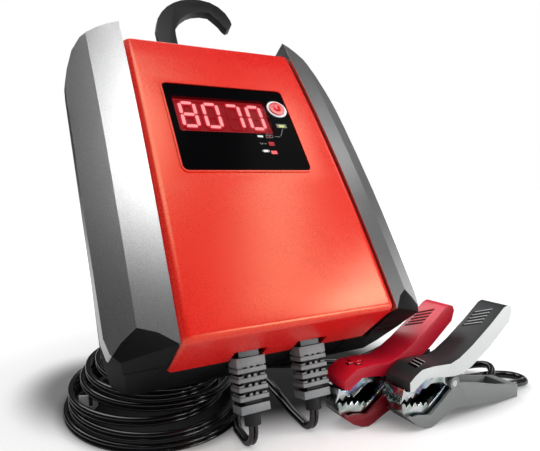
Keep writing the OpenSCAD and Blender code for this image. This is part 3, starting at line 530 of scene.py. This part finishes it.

# %% [markdown]
# The strain reliefs are dull grey rubber, and the gaps between their ribs are near black as painted
# shade. The leads are shiny vinyl. A clamp has a textured pad on top, and its flanks and its lower
# handle are the pad's colour in painted light or shade: darker red on the red clamp, lighter grey on
# the black one. So a clamp has three finishes.

# %% Finishes of the leads and the clamps
finishes.update({
    "relief": finish("grey_relief_rubber", (0.20, 0.215, 0.22), 0.45, grain=1400, speckle=0.8,
                     bump=0.35),
    # near black for the gaps between the ribs, the grip slots and the plus outline: painted shade
    "relief_dark": finish("dark_painted_shade", (0.020, 0.020, 0.021), 0.5, grain=1400, speckle=0.7,
                          bump=0.3, Specular_IOR_Level=0.2),
    "lead": finish("black_vinyl", (0.0030, 0.0030, 0.0035), 0.20, grain=700, spread=0.05,
                   bump=0.03, Specular_IOR_Level=0.50, Coat_Weight=0.40, Coat_Roughness=0.07),
    "tie": finish("grey_tie", (0.45, 0.45, 0.45), 0.5),
    "clamp_red": finish("clamp_red", (0.88, 0.012, 0.045), 0.34, grain=1500, speckle=0.3,
                        bump=0.14, Specular_IOR_Level=0.8, Coat_Weight=0.3, Coat_Roughness=0.20),
    # the red clamp's flanks and lower handle: its red in painted shade
    "clamp_red_dark": finish("clamp_red_flank_painted_shade", (0.40, 0.004, 0.018), 0.34, speckle=0.3, bump=0.12,
                             Specular_IOR_Level=0.35),
    "clamp_maroon": finish("clamp_maroon", (0.20, 0.004, 0.010), 0.34, speckle=0.3, bump=0.12,
                           Specular_IOR_Level=0.35),
    "clamp_black": finish("clamp_charcoal", (0.026, 0.030, 0.032), 0.40, grain=1500, speckle=1.2,
                          bump=0.5),
    # the black clamp's flanks and lower handle: grey in painted light
    "clamp_grey": finish("clamp_grey", (0.60, 0.62, 0.61), 0.40, grain=1500, speckle=0.3,
                         bump=0.2),
    "clamp_dusk": finish("clamp_dark_grey_painted_light", (0.17, 0.18, 0.175), 0.42, grain=1500, speckle=0.3,
                         bump=0.2),
})
print(len(finishes), "finishes with the leads and the clamps")

# %% [markdown]
# ## Plated jaws
# The jaws are pressed steel with a bright zinc plating, which takes on faint blue, green and
# violet tints. A soft noise picks the tint, and the metal stays smooth enough to mirror.

# %% Plating
def plating(name):
    made = finish(name, (0.74, 0.75, 0.76), 0.13, 1.0, grain=260, speckle=0.10, spread=0.08,
                  bump=0.10, depth=0.0004)
    tree = made.node_tree
    shader = tree.nodes["Principled BSDF"]
    place = next(n for n in tree.nodes if n.type == "TEX_COORD")
    skin = next(n for n in tree.nodes if n.type == "GROUP")
    cloud = node(tree, "ShaderNodeTexNoise")
    cloud.inputs["Scale"].default_value = 55.0
    cloud.inputs["Detail"].default_value = 1.5
    tree.links.new(place.outputs["Object"], cloud.inputs["Vector"])
    tint = node(tree, "ShaderNodeValToRGB")
    stops = ((0.28, (0.12, 0.20, 0.17)), (0.40, (0.42, 0.50, 0.45)), (0.49, (0.90, 0.90, 0.90)),
             (0.57, (0.34, 0.52, 0.62)), (0.65, (0.24, 0.18, 0.36)), (0.75, (0.70, 0.68, 0.46)))
    ramp = tint.color_ramp
    for i, (where, colour) in enumerate(stops):
        stop = ramp.elements[i] if i < 2 else ramp.elements.new(where)
        stop.position, stop.color = where, (*colour, 1)
    tree.links.new(cloud.outputs[0], tint.inputs[0])
    # a Mix node keeps its two colours on inputs 6 and 7, and its mixed colour on output 2
    blend = node(tree, "ShaderNodeMix", data_type="RGBA", blend_type="MULTIPLY")
    blend.inputs["Factor"].default_value = 1.0
    tree.links.new(skin.outputs["Color"], blend.inputs[6])
    tree.links.new(tint.outputs[0], blend.inputs[7])
    tree.links.new(blend.outputs[2], shader.inputs["Base Color"])
    return made


finishes["chrome"] = plating("plated_jaw")
print("plating made")

# %% [markdown]
# ## CAD pieces with their own shape
# Many nodes keep the CAD shape and only get a finish, which goes by their material slot. Three
# have one of their own: the button's cap and ring, and the plate of the yellow-green lamp.

# %% Finishes on the CAD nodes
def coat(obj, *keys):
    obj.data.materials.clear()
    for key in keys:
        obj.data.materials.append(finishes[key])


own_finish = {"button_cap": "button", "button_ring": "ring", "lamp_yellow": "lamp_plate"}
for name, obj in nodes.items():
    coat(obj, own_finish.get(name, slot_of[name]))
print("coated", len(nodes), "nodes")

# %% [markdown]
# ## Rounded edges
# Moulded and pressed pieces have small radii that catch the light. The CAD solids have sharp
# ones, so a copy is merged, its flat faces are cleaned of triangles, and a Bevel modifier rounds
# its edges. The copy then stands for the node.

# %% Dressing a node
weld_gap, flat_angle = 0.02, 0.6
pieces = {}


def cleaned_copy(node_name, name):
    """A copy of a CAD node with its corners merged and its flat faces whole, in edit mode."""
    obj = bpy.data.objects.new(name, nodes[node_name].data.copy())
    bpy.context.scene.collection.objects.link(obj)
    only(obj)
    bpy.ops.mesh.customdata_custom_splitnormals_clear()
    bpy.ops.object.mode_set(mode="EDIT")
    bpy.ops.mesh.select_all(action="SELECT")
    bpy.ops.mesh.remove_doubles(threshold=weld_gap * mm)
    bpy.ops.mesh.dissolve_limited(angle_limit=math.radians(flat_angle))
    return obj


def stand_for(obj, node_name, *keys):
    """Gives the piece its finishes and lets it stand for the node."""
    coat(obj, *keys)
    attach(obj, body_of[node_name])
    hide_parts(node_name)
    pieces[obj.name] = obj


def dressed(node_name, name, width, segments=2, angle=38.0, keys=None, smooth_angle=32.0):
    """A cleaned copy with every edge sharper than the angle rounded by the width."""
    obj = cleaned_copy(node_name, name)
    bpy.ops.object.mode_set(mode="OBJECT")
    rounding = obj.modifiers.new("rounding", "BEVEL")
    rounding.width = width * mm
    rounding.segments = segments
    rounding.limit_method = "ANGLE"
    rounding.angle_limit = math.radians(angle)
    rounding.use_clamp_overlap = True
    rounding.miter_outer = "MITER_ARC"
    bpy.ops.object.modifier_apply(modifier=rounding.name)
    bpy.ops.object.shade_smooth_by_angle(angle=math.radians(smooth_angle))
    stand_for(obj, node_name, *(keys or [slot_of[node_name]]))
    return obj


for side in ("left", "right"):
    dressed("side_panel_" + side, "silver_wing_" + side, 0.7, 3, angle=20, smooth_angle=5)
dressed("back_shell", "black_back_shell", 0.5, keys=["black_plastic"])
dressed("hook", "folding_hook", 0.9, 3, keys=["hook"])
print("dressed", sorted(pieces))

# %% [markdown]
# ## Ribbed strain reliefs
# A strain relief is a collar and a row of ribs. Its faces get one of two finishes by where they lie,
# measured in the relief's own millimetres: grey rubber outside, and near black in the gaps and on
# the end, which in the gaps is painted shade.

# %% Strain reliefs
rib_front, rib_side, collar_z = -6.2, 9.4, 0.5


def rib_or_gap(centre, normal):
    """0 for the outer faces of the ribs and the collar, and 1 for the gaps, dark as painted shade,
    and the end.
    """
    on_front = normal.y < -0.4 and (centre.y < rib_front or centre.z > collar_z)
    on_side = abs(normal.x) > 0.5 and abs(centre.x) > rib_side
    return int(not (centre.z > -relief_len and (on_front or on_side)))


def paint_faces(obj, own_place, rule):
    """rule(centre, normal) gives each face the number of its finish."""
    back = own_place.inverted()
    turn = back.to_3x3()
    for face in obj.data.polygons:
        face.material_index = rule(back @ face.center / mm, turn @ face.normal)


for which, x in (("mains", -relief_x), ("output", relief_x)):
    relief = dressed("strain_relief_" + which, "ribbed_relief_" + which, 0.35,
                     keys=["relief", "relief_dark"])
    relief_place = (case_place @ Matrix.Translation((x * mm, relief_y * mm, relief_z * mm))
                    @ Matrix.Rotation(relief_tilt, 4, "X"))
    paint_faces(relief, relief_place, rib_or_gap)
    print(relief.name, sum(face.material_index for face in relief.data.polygons), "dark faces")

# %% [markdown]
# The plug and the splitter are moulded on to the leads, with wide soft edges.

# %% Plug and splitter
dressed("mains_plug", "moulded_plug", 0.8, 3)
dressed("lead_splitter", "cable_splitter", 1.0, 3)
print("dressed", sorted(pieces))

# %% [markdown]
# ## The red cover
# The cover's front edges are rolled over with a wide radius. The side rolls are in the CAD
# shape; the ones at the bottom and the top are bevelled here on a copy. Its edges are picked by
# where they lie: on the sloping bottom or on the top, outside, and not along the back.

# %% Red cover
cover_h, bottom_slope = 250, 12 / 76
notch_y, roll_x, top_y = 31, 76, 40
cover = cleaned_copy("front_cover", "red_cover")


def on_bottom(p):
    return abs(p.z + p.y * bottom_slope) < 0.2


def on_top(p):
    return abs(p.z - cover_h) < 0.1


def lower_edge(a, b):
    """An outer edge of the bottom, in front of the reliefs' notches or along a side."""
    in_front = max(a.y, b.y) < notch_y or min(abs(a.x), abs(b.x)) > roll_x
    return on_bottom(a) and on_bottom(b) and min(a.y, b.y) < notch_y and in_front


def upper_edge(a, b):
    return on_top(a) and on_top(b) and min(a.y, b.y) < top_y


def bevel_edges(obj, test, width, steps):
    """Bevels the edges whose two ends pass the test, in the upright case's millimetres."""
    upright_case = case_place.inverted()
    bpy.ops.mesh.select_mode(type="EDGE")
    bpy.ops.mesh.select_all(action="DESELECT")
    mesh_tool = bmesh.from_edit_mesh(obj.data)
    picked = 0
    for edge in mesh_tool.edges:
        a, b = (upright_case @ v.co / mm for v in edge.verts)
        edge.select = bool(test(a, b)) and edge.calc_face_angle(0) > math.radians(40)
        picked += edge.select
    bmesh.update_edit_mesh(obj.data)
    bpy.ops.mesh.bevel(offset=width * mm, segments=steps, clamp_overlap=False)
    return picked


rolled = bevel_edges(cover, lower_edge, width=4.6, steps=6)
rolled += bevel_edges(cover, upper_edge, width=2.2, steps=4)
bpy.ops.object.mode_set(mode="OBJECT")
bpy.ops.object.shade_smooth_by_angle(angle=math.radians(40))
stand_for(cover, "front_cover", "red_gloss")
print("cover edges rolled:", rolled)

# %% [markdown]
# ## The clamps
# Each clamp is two handles round two plated jaws. The top of a handle is a textured pad, and the
# faces that look across the clamp get the pad's colour in painted light or shade, picked by the way
# they face: darker red on the red clamp, grey on the black one.

# %% Clamp pieces
def paint_flank_light_and_shade(obj, limit=0.72):
    """Gives the second finish, the pad's colour in painted light or shade, to the faces that look
    across the clamp.
    """
    across = Vector((-math.sin(clamp_turn), math.cos(clamp_turn), 0))
    for face in obj.data.polygons:
        if abs(face.normal.dot(across)) > limit:
            face.material_index = 1


# flanks and lower handles get the pad's colour in painted light or shade
for colour, pad, flank_light_or_shade, underside_light_or_shade in (("red", "clamp_red", "clamp_red_dark", "clamp_maroon"),
                                  ("black", "clamp_black", "clamp_grey", "clamp_dusk")):
    paint_flank_light_and_shade(dressed(colour + "_upper_handle", colour + "_top_grip", 1.9, 4, angle=30,
                         keys=[pad, flank_light_or_shade]))
    dressed(colour + "_lower_handle", colour + "_lower_grip", 1.0, 3, angle=30, keys=[underside_light_or_shade])
    for half in ("upper", "lower"):
        dressed(f"{colour}_{half}_jaw", f"{colour}_plated_{half}_jaw", 0.25, angle=30)
print("clamps dressed,", len(pieces), "pieces in all")

# %% [markdown]
# ## Modelling small marks
# Signs and marks start as a block of their own size. Faces are picked by their place, extruded
# or bevelled, and the finished mark is moved to its place in its mesh.

# %% Tools for small marks
def block(name, size):
    """A cube of the given size in millimetres, centred on the origin."""
    bpy.ops.object.select_all(action="DESELECT")
    bpy.ops.mesh.primitive_cube_add(size=1.0)
    obj = bpy.context.object
    obj.name = obj.data.name = name
    obj.data.transform(Matrix.Diagonal((size[0] * mm, size[1] * mm, size[2] * mm, 1)))
    return obj


def pick_faces(obj, test):
    """Selects the faces whose centre and normal pass the test, in edit mode."""
    only(obj)
    bpy.ops.object.mode_set(mode="EDIT")
    bpy.ops.mesh.select_mode(type="FACE")
    bpy.ops.mesh.select_all(action="DESELECT")
    mesh_tool = bmesh.from_edit_mesh(obj.data)
    for face in mesh_tool.faces:
        face.select = bool(test(face.calc_center_median(), face.normal))
    bmesh.update_edit_mesh(obj.data)


def round_off(obj, width, segments=2):
    only(obj)
    edge = obj.modifiers.new("edge", "BEVEL")
    edge.width = width * mm
    edge.segments = segments
    edge.limit_method = "ANGLE"
    bpy.ops.object.modifier_apply(modifier=edge.name)
    bpy.ops.object.shade_smooth_by_angle(angle=math.radians(35))


def settle(obj, place, body, key):
    """Moves the mark to its place in its mesh and gives it a body, a finish and a slot."""
    obj.data.transform(place)
    coat(obj, key)
    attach(obj, body)
    return obj


def joined(name, parts):
    only(parts[0])
    for part in parts[1:]:
        part.select_set(True)
    bpy.ops.object.join()
    bpy.context.object.name = bpy.context.object.data.name = name
    return bpy.context.object


# %% [markdown]
# ## Marks on the clamp heads
# A raised plus tells the red clamp, and three short bars the black one. The marks must sit on a
# curved grip, so a ray is sent down to find the skin and its slope at each place.

# %% Finding the skin of a grip
ray_height = 130


def skin_finder(obj, at):
    """A function that gives the place on the piece's top at (s, y), its local Z pointing out."""
    mesh = obj.data
    tree = BVHTree.FromPolygons([v.co for v in mesh.vertices], [p.vertices for p in mesh.polygons])
    clamp_place = (Matrix.Translation((at[0] * mm, at[1] * mm, 0))
                   @ Matrix.Rotation(clamp_turn, 4, "Z"))

    def place(s, y, turn=0.0):
        start = clamp_place @ Vector((s * mm, y * mm, ray_height * mm))
        hit, normal, _, _ = tree.ray_cast(start, Vector((0, 0, -1)))
        ahead_axis = Vector((math.cos(clamp_turn), math.sin(clamp_turn), 0))
        side_axis = normal.cross(ahead_axis).normalized()
        ahead_axis = side_axis.cross(normal)
        basis = Matrix((ahead_axis, side_axis, normal)).transposed().to_4x4()
        return Matrix.Translation(hit) @ basis @ Matrix.Rotation(math.radians(turn), 4, "Z")
    return place


on_red = skin_finder(pieces["red_top_grip"], red_at)
on_black = skin_finder(pieces["black_top_grip"], black_at)
head_s = -3.6
print("skin of the red head at", tuple(round(v, 3) for v in on_red(head_s, 0).to_translation()))

# %% [markdown]
# The plus starts as a flat block whose arms are extruded from its sides, so it is one piece. A wider
# dark one lies under it as a painted shadow round its edges.

# %% Plus on the red head
def plus_shape(name, core, arm, thick):
    """A square block whose four sides are extruded into arms."""
    plus = block(name, (core, core, thick))
    for axis in (Vector((1, 0, 0)), Vector((-1, 0, 0)), Vector((0, 1, 0)), Vector((0, -1, 0))):
        # only the core's own side, and not the end of an arm that is already there
        pick_faces(plus, lambda centre, normal: normal.dot(axis) > 0.9
                   and centre.length < core * 0.6 * mm)
        bpy.ops.mesh.extrude_region_move(TRANSFORM_OT_translate={"value": axis * arm * mm})
        bpy.ops.object.mode_set(mode="OBJECT")
    round_off(plus, 0.3)
    return plus


just_below = Matrix.Translation((0, 0, -0.1 * mm))
# a wider dark plus under the raised one: its painted shadow
settle(plus_shape("plus_painted_shadow", core=4.6, arm=4.4, thick=0.7), on_red(head_s, 0) @ just_below,
       "red_jaw_body", "relief_dark")
plus = settle(plus_shape("plus_mark", core=2.6, arm=4.2, thick=2.0), on_red(head_s, 0),
              "red_jaw_body", "clamp_red")
print("plus of", len(plus.data.polygons), "faces")

# %% [markdown]
# The black head has three dark bars, each with a raised edge behind it that is grey as a painted
# highlight.

# %% Bars on the black head
bar_turn, edge_step = -8, 1.9
for i, (s, y) in enumerate(((-8.4, -1.6), (head_s, 0.2), (1.4, 2.2))):
    bar = block(f"head_bar_{i + 1}", (2.8, 9.5, 0.8))
    round_off(bar, 0.3)
    settle(bar, on_black(s, y, bar_turn), "black_jaw_body", "panel_black")
    # the raised edge is grey as a painted highlight
    edge = block(f"head_edge_painted_light_{i + 1}", (0.7, 9.5, 1.3))
    round_off(edge, 0.25)
    settle(edge, on_black(s + edge_step, y, bar_turn), "black_jaw_body", "clamp_grey")
    print(bar.name, "and", edge.name)

# %% [markdown]
# Near its tail each upper handle has five slanting grip slots. A slot is a dark bar that lies almost
# flush with the skin, its darkness painted shade in place of a cut, with a raised lip behind it; on
# the black clamp the lip is grey as a painted highlight.

# %% Grip slots
slot_turn, slot_from, slot_pitch, slot_count = 32, 60, 3.1, 5
slot_y, lip_y, lip_step = 2.6, 1.6, 1.2
for colour, finder, lip_colour_or_painted_light in (("red", on_red, "clamp_red"), ("black", on_black, "clamp_grey")):
    body, slot = colour + "_jaw_body", "clamp_" + colour
    for i in range(slot_count):
        s = slot_from + slot_pitch * i
        # the dark bar is painted shade for the slot; the black clamp's grey lip is a painted
        # highlight
        slot_bar = block(f"{colour}_grip_slot_{i + 1}", (1.7, 15.0, 0.5))
        round_off(slot_bar, 0.24)
        settle(slot_bar, finder(s, slot_y, slot_turn), body, "relief_dark")
        lip = block(f"{colour}_grip_lip_{i + 1}", (0.8, 14.0, 1.0))
        round_off(lip, 0.3)
        settle(lip, finder(s + lip_step, lip_y, slot_turn), body, lip_colour_or_painted_light)
    print(slot_count, "grip slots on the", colour, "clamp")

# %% [markdown]
# ## The lit digits
# The display has four seven-segment digits behind a red window. One segment is a thin bar with
# blunt points, made once from a block whose corners are bevelled, then copied, each copy with
# its own mesh, and joined into digits. The reading is a plain number.

# %% One segment
segment_thick, blunting = 0.4, 0.38


def segment(name, long, wide=2.45):
    """A thin bar whose four corners, seen from the front, are bevelled to blunt points."""
    bar = block(name, (long, segment_thick, wide))
    only(bar)
    bpy.ops.object.mode_set(mode="EDIT")
    bpy.ops.mesh.select_mode(type="EDGE")
    bpy.ops.mesh.select_all(action="DESELECT")
    mesh_tool = bmesh.from_edit_mesh(bar.data)
    for edge in mesh_tool.edges:
        ends = [v.co for v in edge.verts]
        edge.select = abs(ends[0].x - ends[1].x) < 1e-6 and abs(ends[0].z - ends[1].z) < 1e-6
    bmesh.update_edit_mesh(bar.data)
    bpy.ops.mesh.bevel(offset=wide * blunting * mm, segments=2)
    bpy.ops.object.mode_set(mode="OBJECT")
    return bar


sharp = (segment("segment_flat", 8.2), segment("segment_tall", 9.9))
hazy = (segment("haze_flat", 10.6, 5.0), segment("haze_tall", 12.0, 5.0))
print("segments of", len(sharp[0].data.polygons), "faces")

# %% [markdown]
# Each digit is made twice: once from the sharp lit segments, and once, a little deeper, from
# wider and dimmer ones that make the haze.

# %% Four digits
reading = "8070"
lit_segments = {"8": "abcdefg", "0": "abcdef", "7": "abc"}
digit_w, digit_h, digit_pitch = 11.2, 23.2, 18.43
first_digit_x, digits_z = -38.35, 170.7
digit_lift, haze_lift = -2.1, -2.5
arm = digit_h / 2
segment_places = {"a": (0, arm, 0), "g": (0, 0, 0), "d": (0, -arm, 0),
                  "b": (digit_w / 2, arm / 2, 90), "c": (digit_w / 2, -arm / 2, 90),
                  "f": (-digit_w / 2, arm / 2, 90), "e": (-digit_w / 2, -arm / 2, 90)}


def digit_of(name, figure, centre_x, sources, lift, key):
    """Copies the flat and the tall segment to their places and joins them into one digit."""
    parts = []
    for mark in lit_segments[figure]:
        dx, dz, turn = segment_places[mark]
        source = sources[1 if turn else 0]
        part = source.copy()
        part.data = source.data.copy()
        bpy.context.scene.collection.objects.link(part)
        spot = face_place(centre_x + dx, digits_z + dz, lift)
        part.data.transform(spot @ Matrix.Rotation(math.radians(turn), 4, "Y"))
        parts.append(part)
    digit = joined(name, parts)
    coat(digit, key)
    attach(digit, "charger")
    return digit


for i, figure in enumerate(reading):
    centre_x = first_digit_x + i * digit_pitch
    digit_of(f"digit_{i + 1}", figure, centre_x, sharp, digit_lift, "digit_lit")
    digit_of(f"digit_glow_{i + 1}", figure, centre_x, hazy, haze_lift, "digit_glow")
for spare in sharp + hazy:
    bpy.data.objects.remove(spare)
print("the display reads", reading)

# %% [markdown]
# ## Signs on the panel
# Beside the lamps are small plain signs: a bar, a battery outline, a short zigzag and a plug
# shape. They are thin raised plates on the panel, with no words.

# %% Panel signs
sign_thick, sign_edge, sign_lift = 0.24, 0.08, 0.02


def plate(name, x0, z0, x1, z1, key, slot="tie", turn=0.0):
    """A thin plate on the panel between two corners, turned about its middle."""
    obj = block(name, (x1 - x0, sign_thick, z1 - z0))
    round_off(obj, sign_edge, 1)
    place = face_place((x0 + x1) / 2, (z0 + z1) / 2, sign_lift)
    return settle(obj, place @ Matrix.Rotation(math.radians(turn), 4, "Y"), "charger", key)


signs = [
    plate("sign_bar", 11.3, 148.5, 16.0, 150.4, "print_white"),
    joined("sign_battery", [plate("stroke", *box, "print_grey") for box in (
        (18.6, 148.2, 24.6, 148.6), (18.6, 150.6, 24.6, 151.0), (18.6, 148.2, 19.0, 151.0),
        (24.2, 148.2, 24.6, 151.0), (19.6, 151.0, 20.6, 151.5), (22.6, 151.0, 23.6, 151.5))]),
    plate("lamp_core", 33.9, 159.8, 38.7, 161.9, "lamp_green"),
    plate("sign_dot", 21.0, 149.2, 22.4, 150.0, "print_red", "lamp_red"),
    joined("sign_zigzag", [plate("stroke", *box, "print_grey", turn=turn) for box, turn in (
        ((10.9, 142.0, 13.1, 142.5), 50), ((12.3, 141.9, 14.5, 142.4), -50),
        ((15.0, 141.9, 16.8, 142.4), 0))]),
    joined("sign_lines", [plate("stroke", 18.8, z, 23.6, z + 0.7, "print_red", "lamp_red")
                          for z in (140.6, 141.9, 143.2)]),
    joined("sign_plug", [plate("stroke", *box, "print_white") for box in (
        (12.0, 133.9, 16.0, 136.2), (16.0, 134.3, 17.3, 134.7), (16.0, 135.4, 17.3, 135.8),
        (10.6, 134.9, 12.0, 135.3))]),
    joined("lamp_pointer", [plate("stroke", *box, "print_grey", turn=turn) for box, turn in (
        ((26.2, 149.4, 31.2, 149.8), 0), ((29.6, 154.2, 39.0, 154.6), -62))]),
]
print("signs", [sign.name for sign in signs])

# %% [markdown]
# ## Leads: finish and bodies
# Each lead gets the vinyl finish and the charger's body, and the CAD lead that it stands for is
# hidden.

for cable, node_name in ((mains_lead, "mains_lead"), (output_lead, "output_lead"),
                         (clamp_leads["red"][0], "clamp_lead_red"),
                         (clamp_leads["black"][0], "clamp_lead_black")):
    coat(cable, "lead")
    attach(cable, "charger")
    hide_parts(node_name)


for colour, (cable, route) in clamp_leads.items():
    held = [pieces[colour + "_top_grip"], pieces[colour + "_lower_grip"]]
    held += [nodes[colour + "_pivot_pin"], nodes[colour + "_spring"]]

# %% [markdown]
# ## The studio
# The floor and the background are soft: their brightness changes in smooth steps, from side to
# side or outwards from a spot. Three helpers make these values.

# %% Soft values for the floor and the background
def seen_directly(tree):
    """1 for rays that show the background as it is: camera, mirror and glass rays."""
    path = node(tree, "ShaderNodeLightPath").outputs
    either = math_node(tree, "MAXIMUM", path["Is Camera Ray"], path["Is Glossy Ray"])
    return math_node(tree, "MAXIMUM", either, path["Is Transmission Ray"])


def ramp_of(tree, source, start, stop, low, high):
    """A soft step: low up to the start, high past the stop."""
    step = node(tree, "ShaderNodeMapRange", interpolation_type="SMOOTHSTEP")
    for name, value in (("From Min", start), ("From Max", stop), ("To Min", low),
                        ("To Max", high)):
        step.inputs[name].default_value = value
    tree.links.new(source, step.inputs["Value"])
    return step.outputs[0]


def spread_from(tree, centre, radii, near, far, low):
    """A soft value over the floor: low inside an ellipse and 1 outside it."""
    place = node(tree, "ShaderNodeTexCoord")
    shifted = node(tree, "ShaderNodeMapping")
    shifted.inputs["Scale"].default_value = (1 / radii[0], 1 / radii[1], 0)
    shifted.inputs["Location"].default_value = (-centre[0] / radii[0], -centre[1] / radii[1], 0)
    tree.links.new(place.outputs["Object"], shifted.inputs["Vector"])
    span = node(tree, "ShaderNodeVectorMath", operation="LENGTH")
    tree.links.new(shifted.outputs[0], span.inputs[0])
    return ramp_of(tree, span.outputs["Value"], near, far, low, 1.0)


# %% [markdown]
# The floor is a wide pale sheet that keeps the soft shadows. A part of its brightness is its own
# glow, so that it reads as white under plain lamps. The camera sees all of that glow, and mirrors
# see it on the right alone. Under the coil, the case and the clamps and beside the coil, glow and
# paper colour are darkened by painted shadows, on top of the shadows that the lamps cast.

# %% Floor
paper_white = 0.80
bpy.ops.object.select_all(action="DESELECT")
bpy.ops.mesh.primitive_plane_add(size=12.0)
floor = bpy.context.object
floor.name = "studio_floor"
paper = bpy.data.materials.new("white_paper")
paper.use_nodes = True
tree = paper.node_tree
paper_shader = tree.nodes["Principled BSDF"]
paper_shader.inputs["Roughness"].default_value = 0.6
paper_shader.inputs["Specular IOR Level"].default_value = 0.05
paper_shader.inputs["Emission Color"].default_value = (1, 1, 1, 1)
near_glow = spread_from(tree, (0.12, 0), (1, 1), near=0.30, far=0.66, low=0.30)
# painted shadows: soft dark ellipses that darken the floor's glow and paper colour
painted_shadow_under_coil = spread_from(tree, (-0.061, 0.034), (0.070, 0.084), near=0.86, far=1.16, low=0.02)
painted_shadow_under_case = spread_from(tree, (0.050, 0.036), (0.160, 0.108), near=0.60, far=1.10, low=0.03)
painted_shadow_under_clamps = spread_from(tree, (0.150, -0.078), (0.095, 0.042), near=0.50, far=1.20, low=0.45)
painted_shadow_beside_coil = spread_from(tree, (-0.100, 0.085), (0.055, 0.075), near=0.60, far=1.40, low=0.22)
shade = math_node(tree, "MULTIPLY", painted_shadow_under_coil, painted_shadow_under_case)
shade = math_node(tree, "MULTIPLY", shade, math_node(tree, "MULTIPLY", painted_shadow_under_clamps, painted_shadow_beside_coil))
glow = math_node(tree, "MULTIPLY", near_glow, shade)
camera_ray = node(tree, "ShaderNodeLightPath").outputs["Is Camera Ray"]
for_camera = math_node(tree, "MULTIPLY", camera_ray, glow)
spot = node(tree, "ShaderNodeSeparateXYZ")
tree.links.new(node(tree, "ShaderNodeTexCoord").outputs["Object"], spot.inputs[0])
mirror_side = ramp_of(tree, spot.outputs["X"], 0.1, 0.9, 0.05, 0.9)
in_mirror = math_node(tree, "MULTIPLY", mirror_side, glow)
for_mirrors = math_node(tree, "MULTIPLY", seen_directly(tree), in_mirror)
tree.links.new(math_node(tree, "MAXIMUM", for_camera, for_mirrors),
               paper_shader.inputs["Emission Strength"])
# the paper colour carries the painted shadows too
paper_tone = math_node(tree, "MULTIPLY", shade, paper_white)
combine = node(tree, "ShaderNodeCombineColor")
for channel in range(3):
    tree.links.new(paper_tone, combine.inputs[channel])
tree.links.new(combine.outputs[0], paper_shader.inputs["Base Color"])
floor.data.materials.append(paper)
print("floor of", round(floor.dimensions.x, 1), "m")

# %% [markdown]
# The camera sees plain white behind the charger. In mirrors the backdrop is white low on the
# right and the rest of the studio is dark, so that the paint and the plating get real
# contrast. A dim even white lights the pieces from all round.

# %% Background
world = bpy.data.worlds.new("studio")
bpy.context.scene.world = world
world.use_nodes = True
tree = world.node_tree
tree.nodes.clear()
even_light = node(tree, "ShaderNodeBackground")
even_light.inputs["Color"].default_value = (1, 1, 1, 1)
even_light.inputs["Strength"].default_value = 0.22
backdrop = node(tree, "ShaderNodeBackground")
backdrop.inputs["Color"].default_value = (1, 1, 1, 1)
direction = node(tree, "ShaderNodeSeparateXYZ")
tree.links.new(node(tree, "ShaderNodeTexCoord").outputs["Generated"], direction.inputs[0])
to_the_right = ramp_of(tree, direction.outputs["X"], 0.30, 0.90, 0.0, 0.95)
near_horizon = ramp_of(tree, direction.outputs["Z"], 0.03, 0.19, 1.0, 0.06)
mirrored = math_node(tree, "ADD", math_node(tree, "MULTIPLY", to_the_right, near_horizon), 0.03)
camera_ray = node(tree, "ShaderNodeLightPath").outputs["Is Camera Ray"]
tree.links.new(math_node(tree, "MAXIMUM", camera_ray, mirrored), backdrop.inputs["Strength"])
choose = node(tree, "ShaderNodeMixShader")
tree.links.new(seen_directly(tree), choose.inputs[0])
tree.links.new(even_light.outputs[0], choose.inputs[1])
tree.links.new(backdrop.outputs[0], choose.inputs[2])
tree.links.new(choose.outputs[0], node(tree, "ShaderNodeOutputWorld").inputs[0])
print("background", world.name)

# %% [markdown]
# Six softboxes stand round the charger: a big one overhead, a long strip high on the right that
# the cover mirrors as a broad sheen, two on the right for the flanks and the clamps, a low one
# in front for the undersides, and one behind.

# %% Lamps
def softbox(name, place, aim, size, power, roll=0.0):
    """A rectangular lamp that looks at its aim, turned about that line by its roll."""
    lamp = bpy.data.lights.new(name, "AREA")
    lamp.shape = "RECTANGLE"
    lamp.size, lamp.size_y = size
    lamp.energy = power
    obj = bpy.data.objects.new(name, lamp)
    bpy.context.scene.collection.objects.link(obj)
    obj.location = place
    turned = (Vector(aim) - Vector(place)).to_track_quat("-Z", "Y").to_matrix()
    obj.rotation_euler = (turned @ Matrix.Rotation(math.radians(roll), 3, "Z")).to_euler()


softbox("top", (-0.250, -0.365, 1.40), (-0.250, -0.3649, 0), (0.80, 0.96), 8.8, roll=-38)
softbox("strip", (0.76, -0.70, 1.36), (0.05, 0, 0.15), (1.25, 0.30), 4.5, roll=45)
softbox("side", (0.78, -0.66, 0.62), (0.05, -0.08, 0.12), (0.42, 0.26), 2.8)
softbox("right", (1.04, 0.08, 0.86), (0.1, 0.05, 0.2), (0.36, 0.36), 0.55)
softbox("low", (0.62, -1.10, 0.17), (0, -0.05, 0.1), (0.70, 0.10), 5.0)
softbox("rear", (0.02, 0.93, 1.08), (0.05, 0, 0.1), (1.1, 0.9), 6.5)
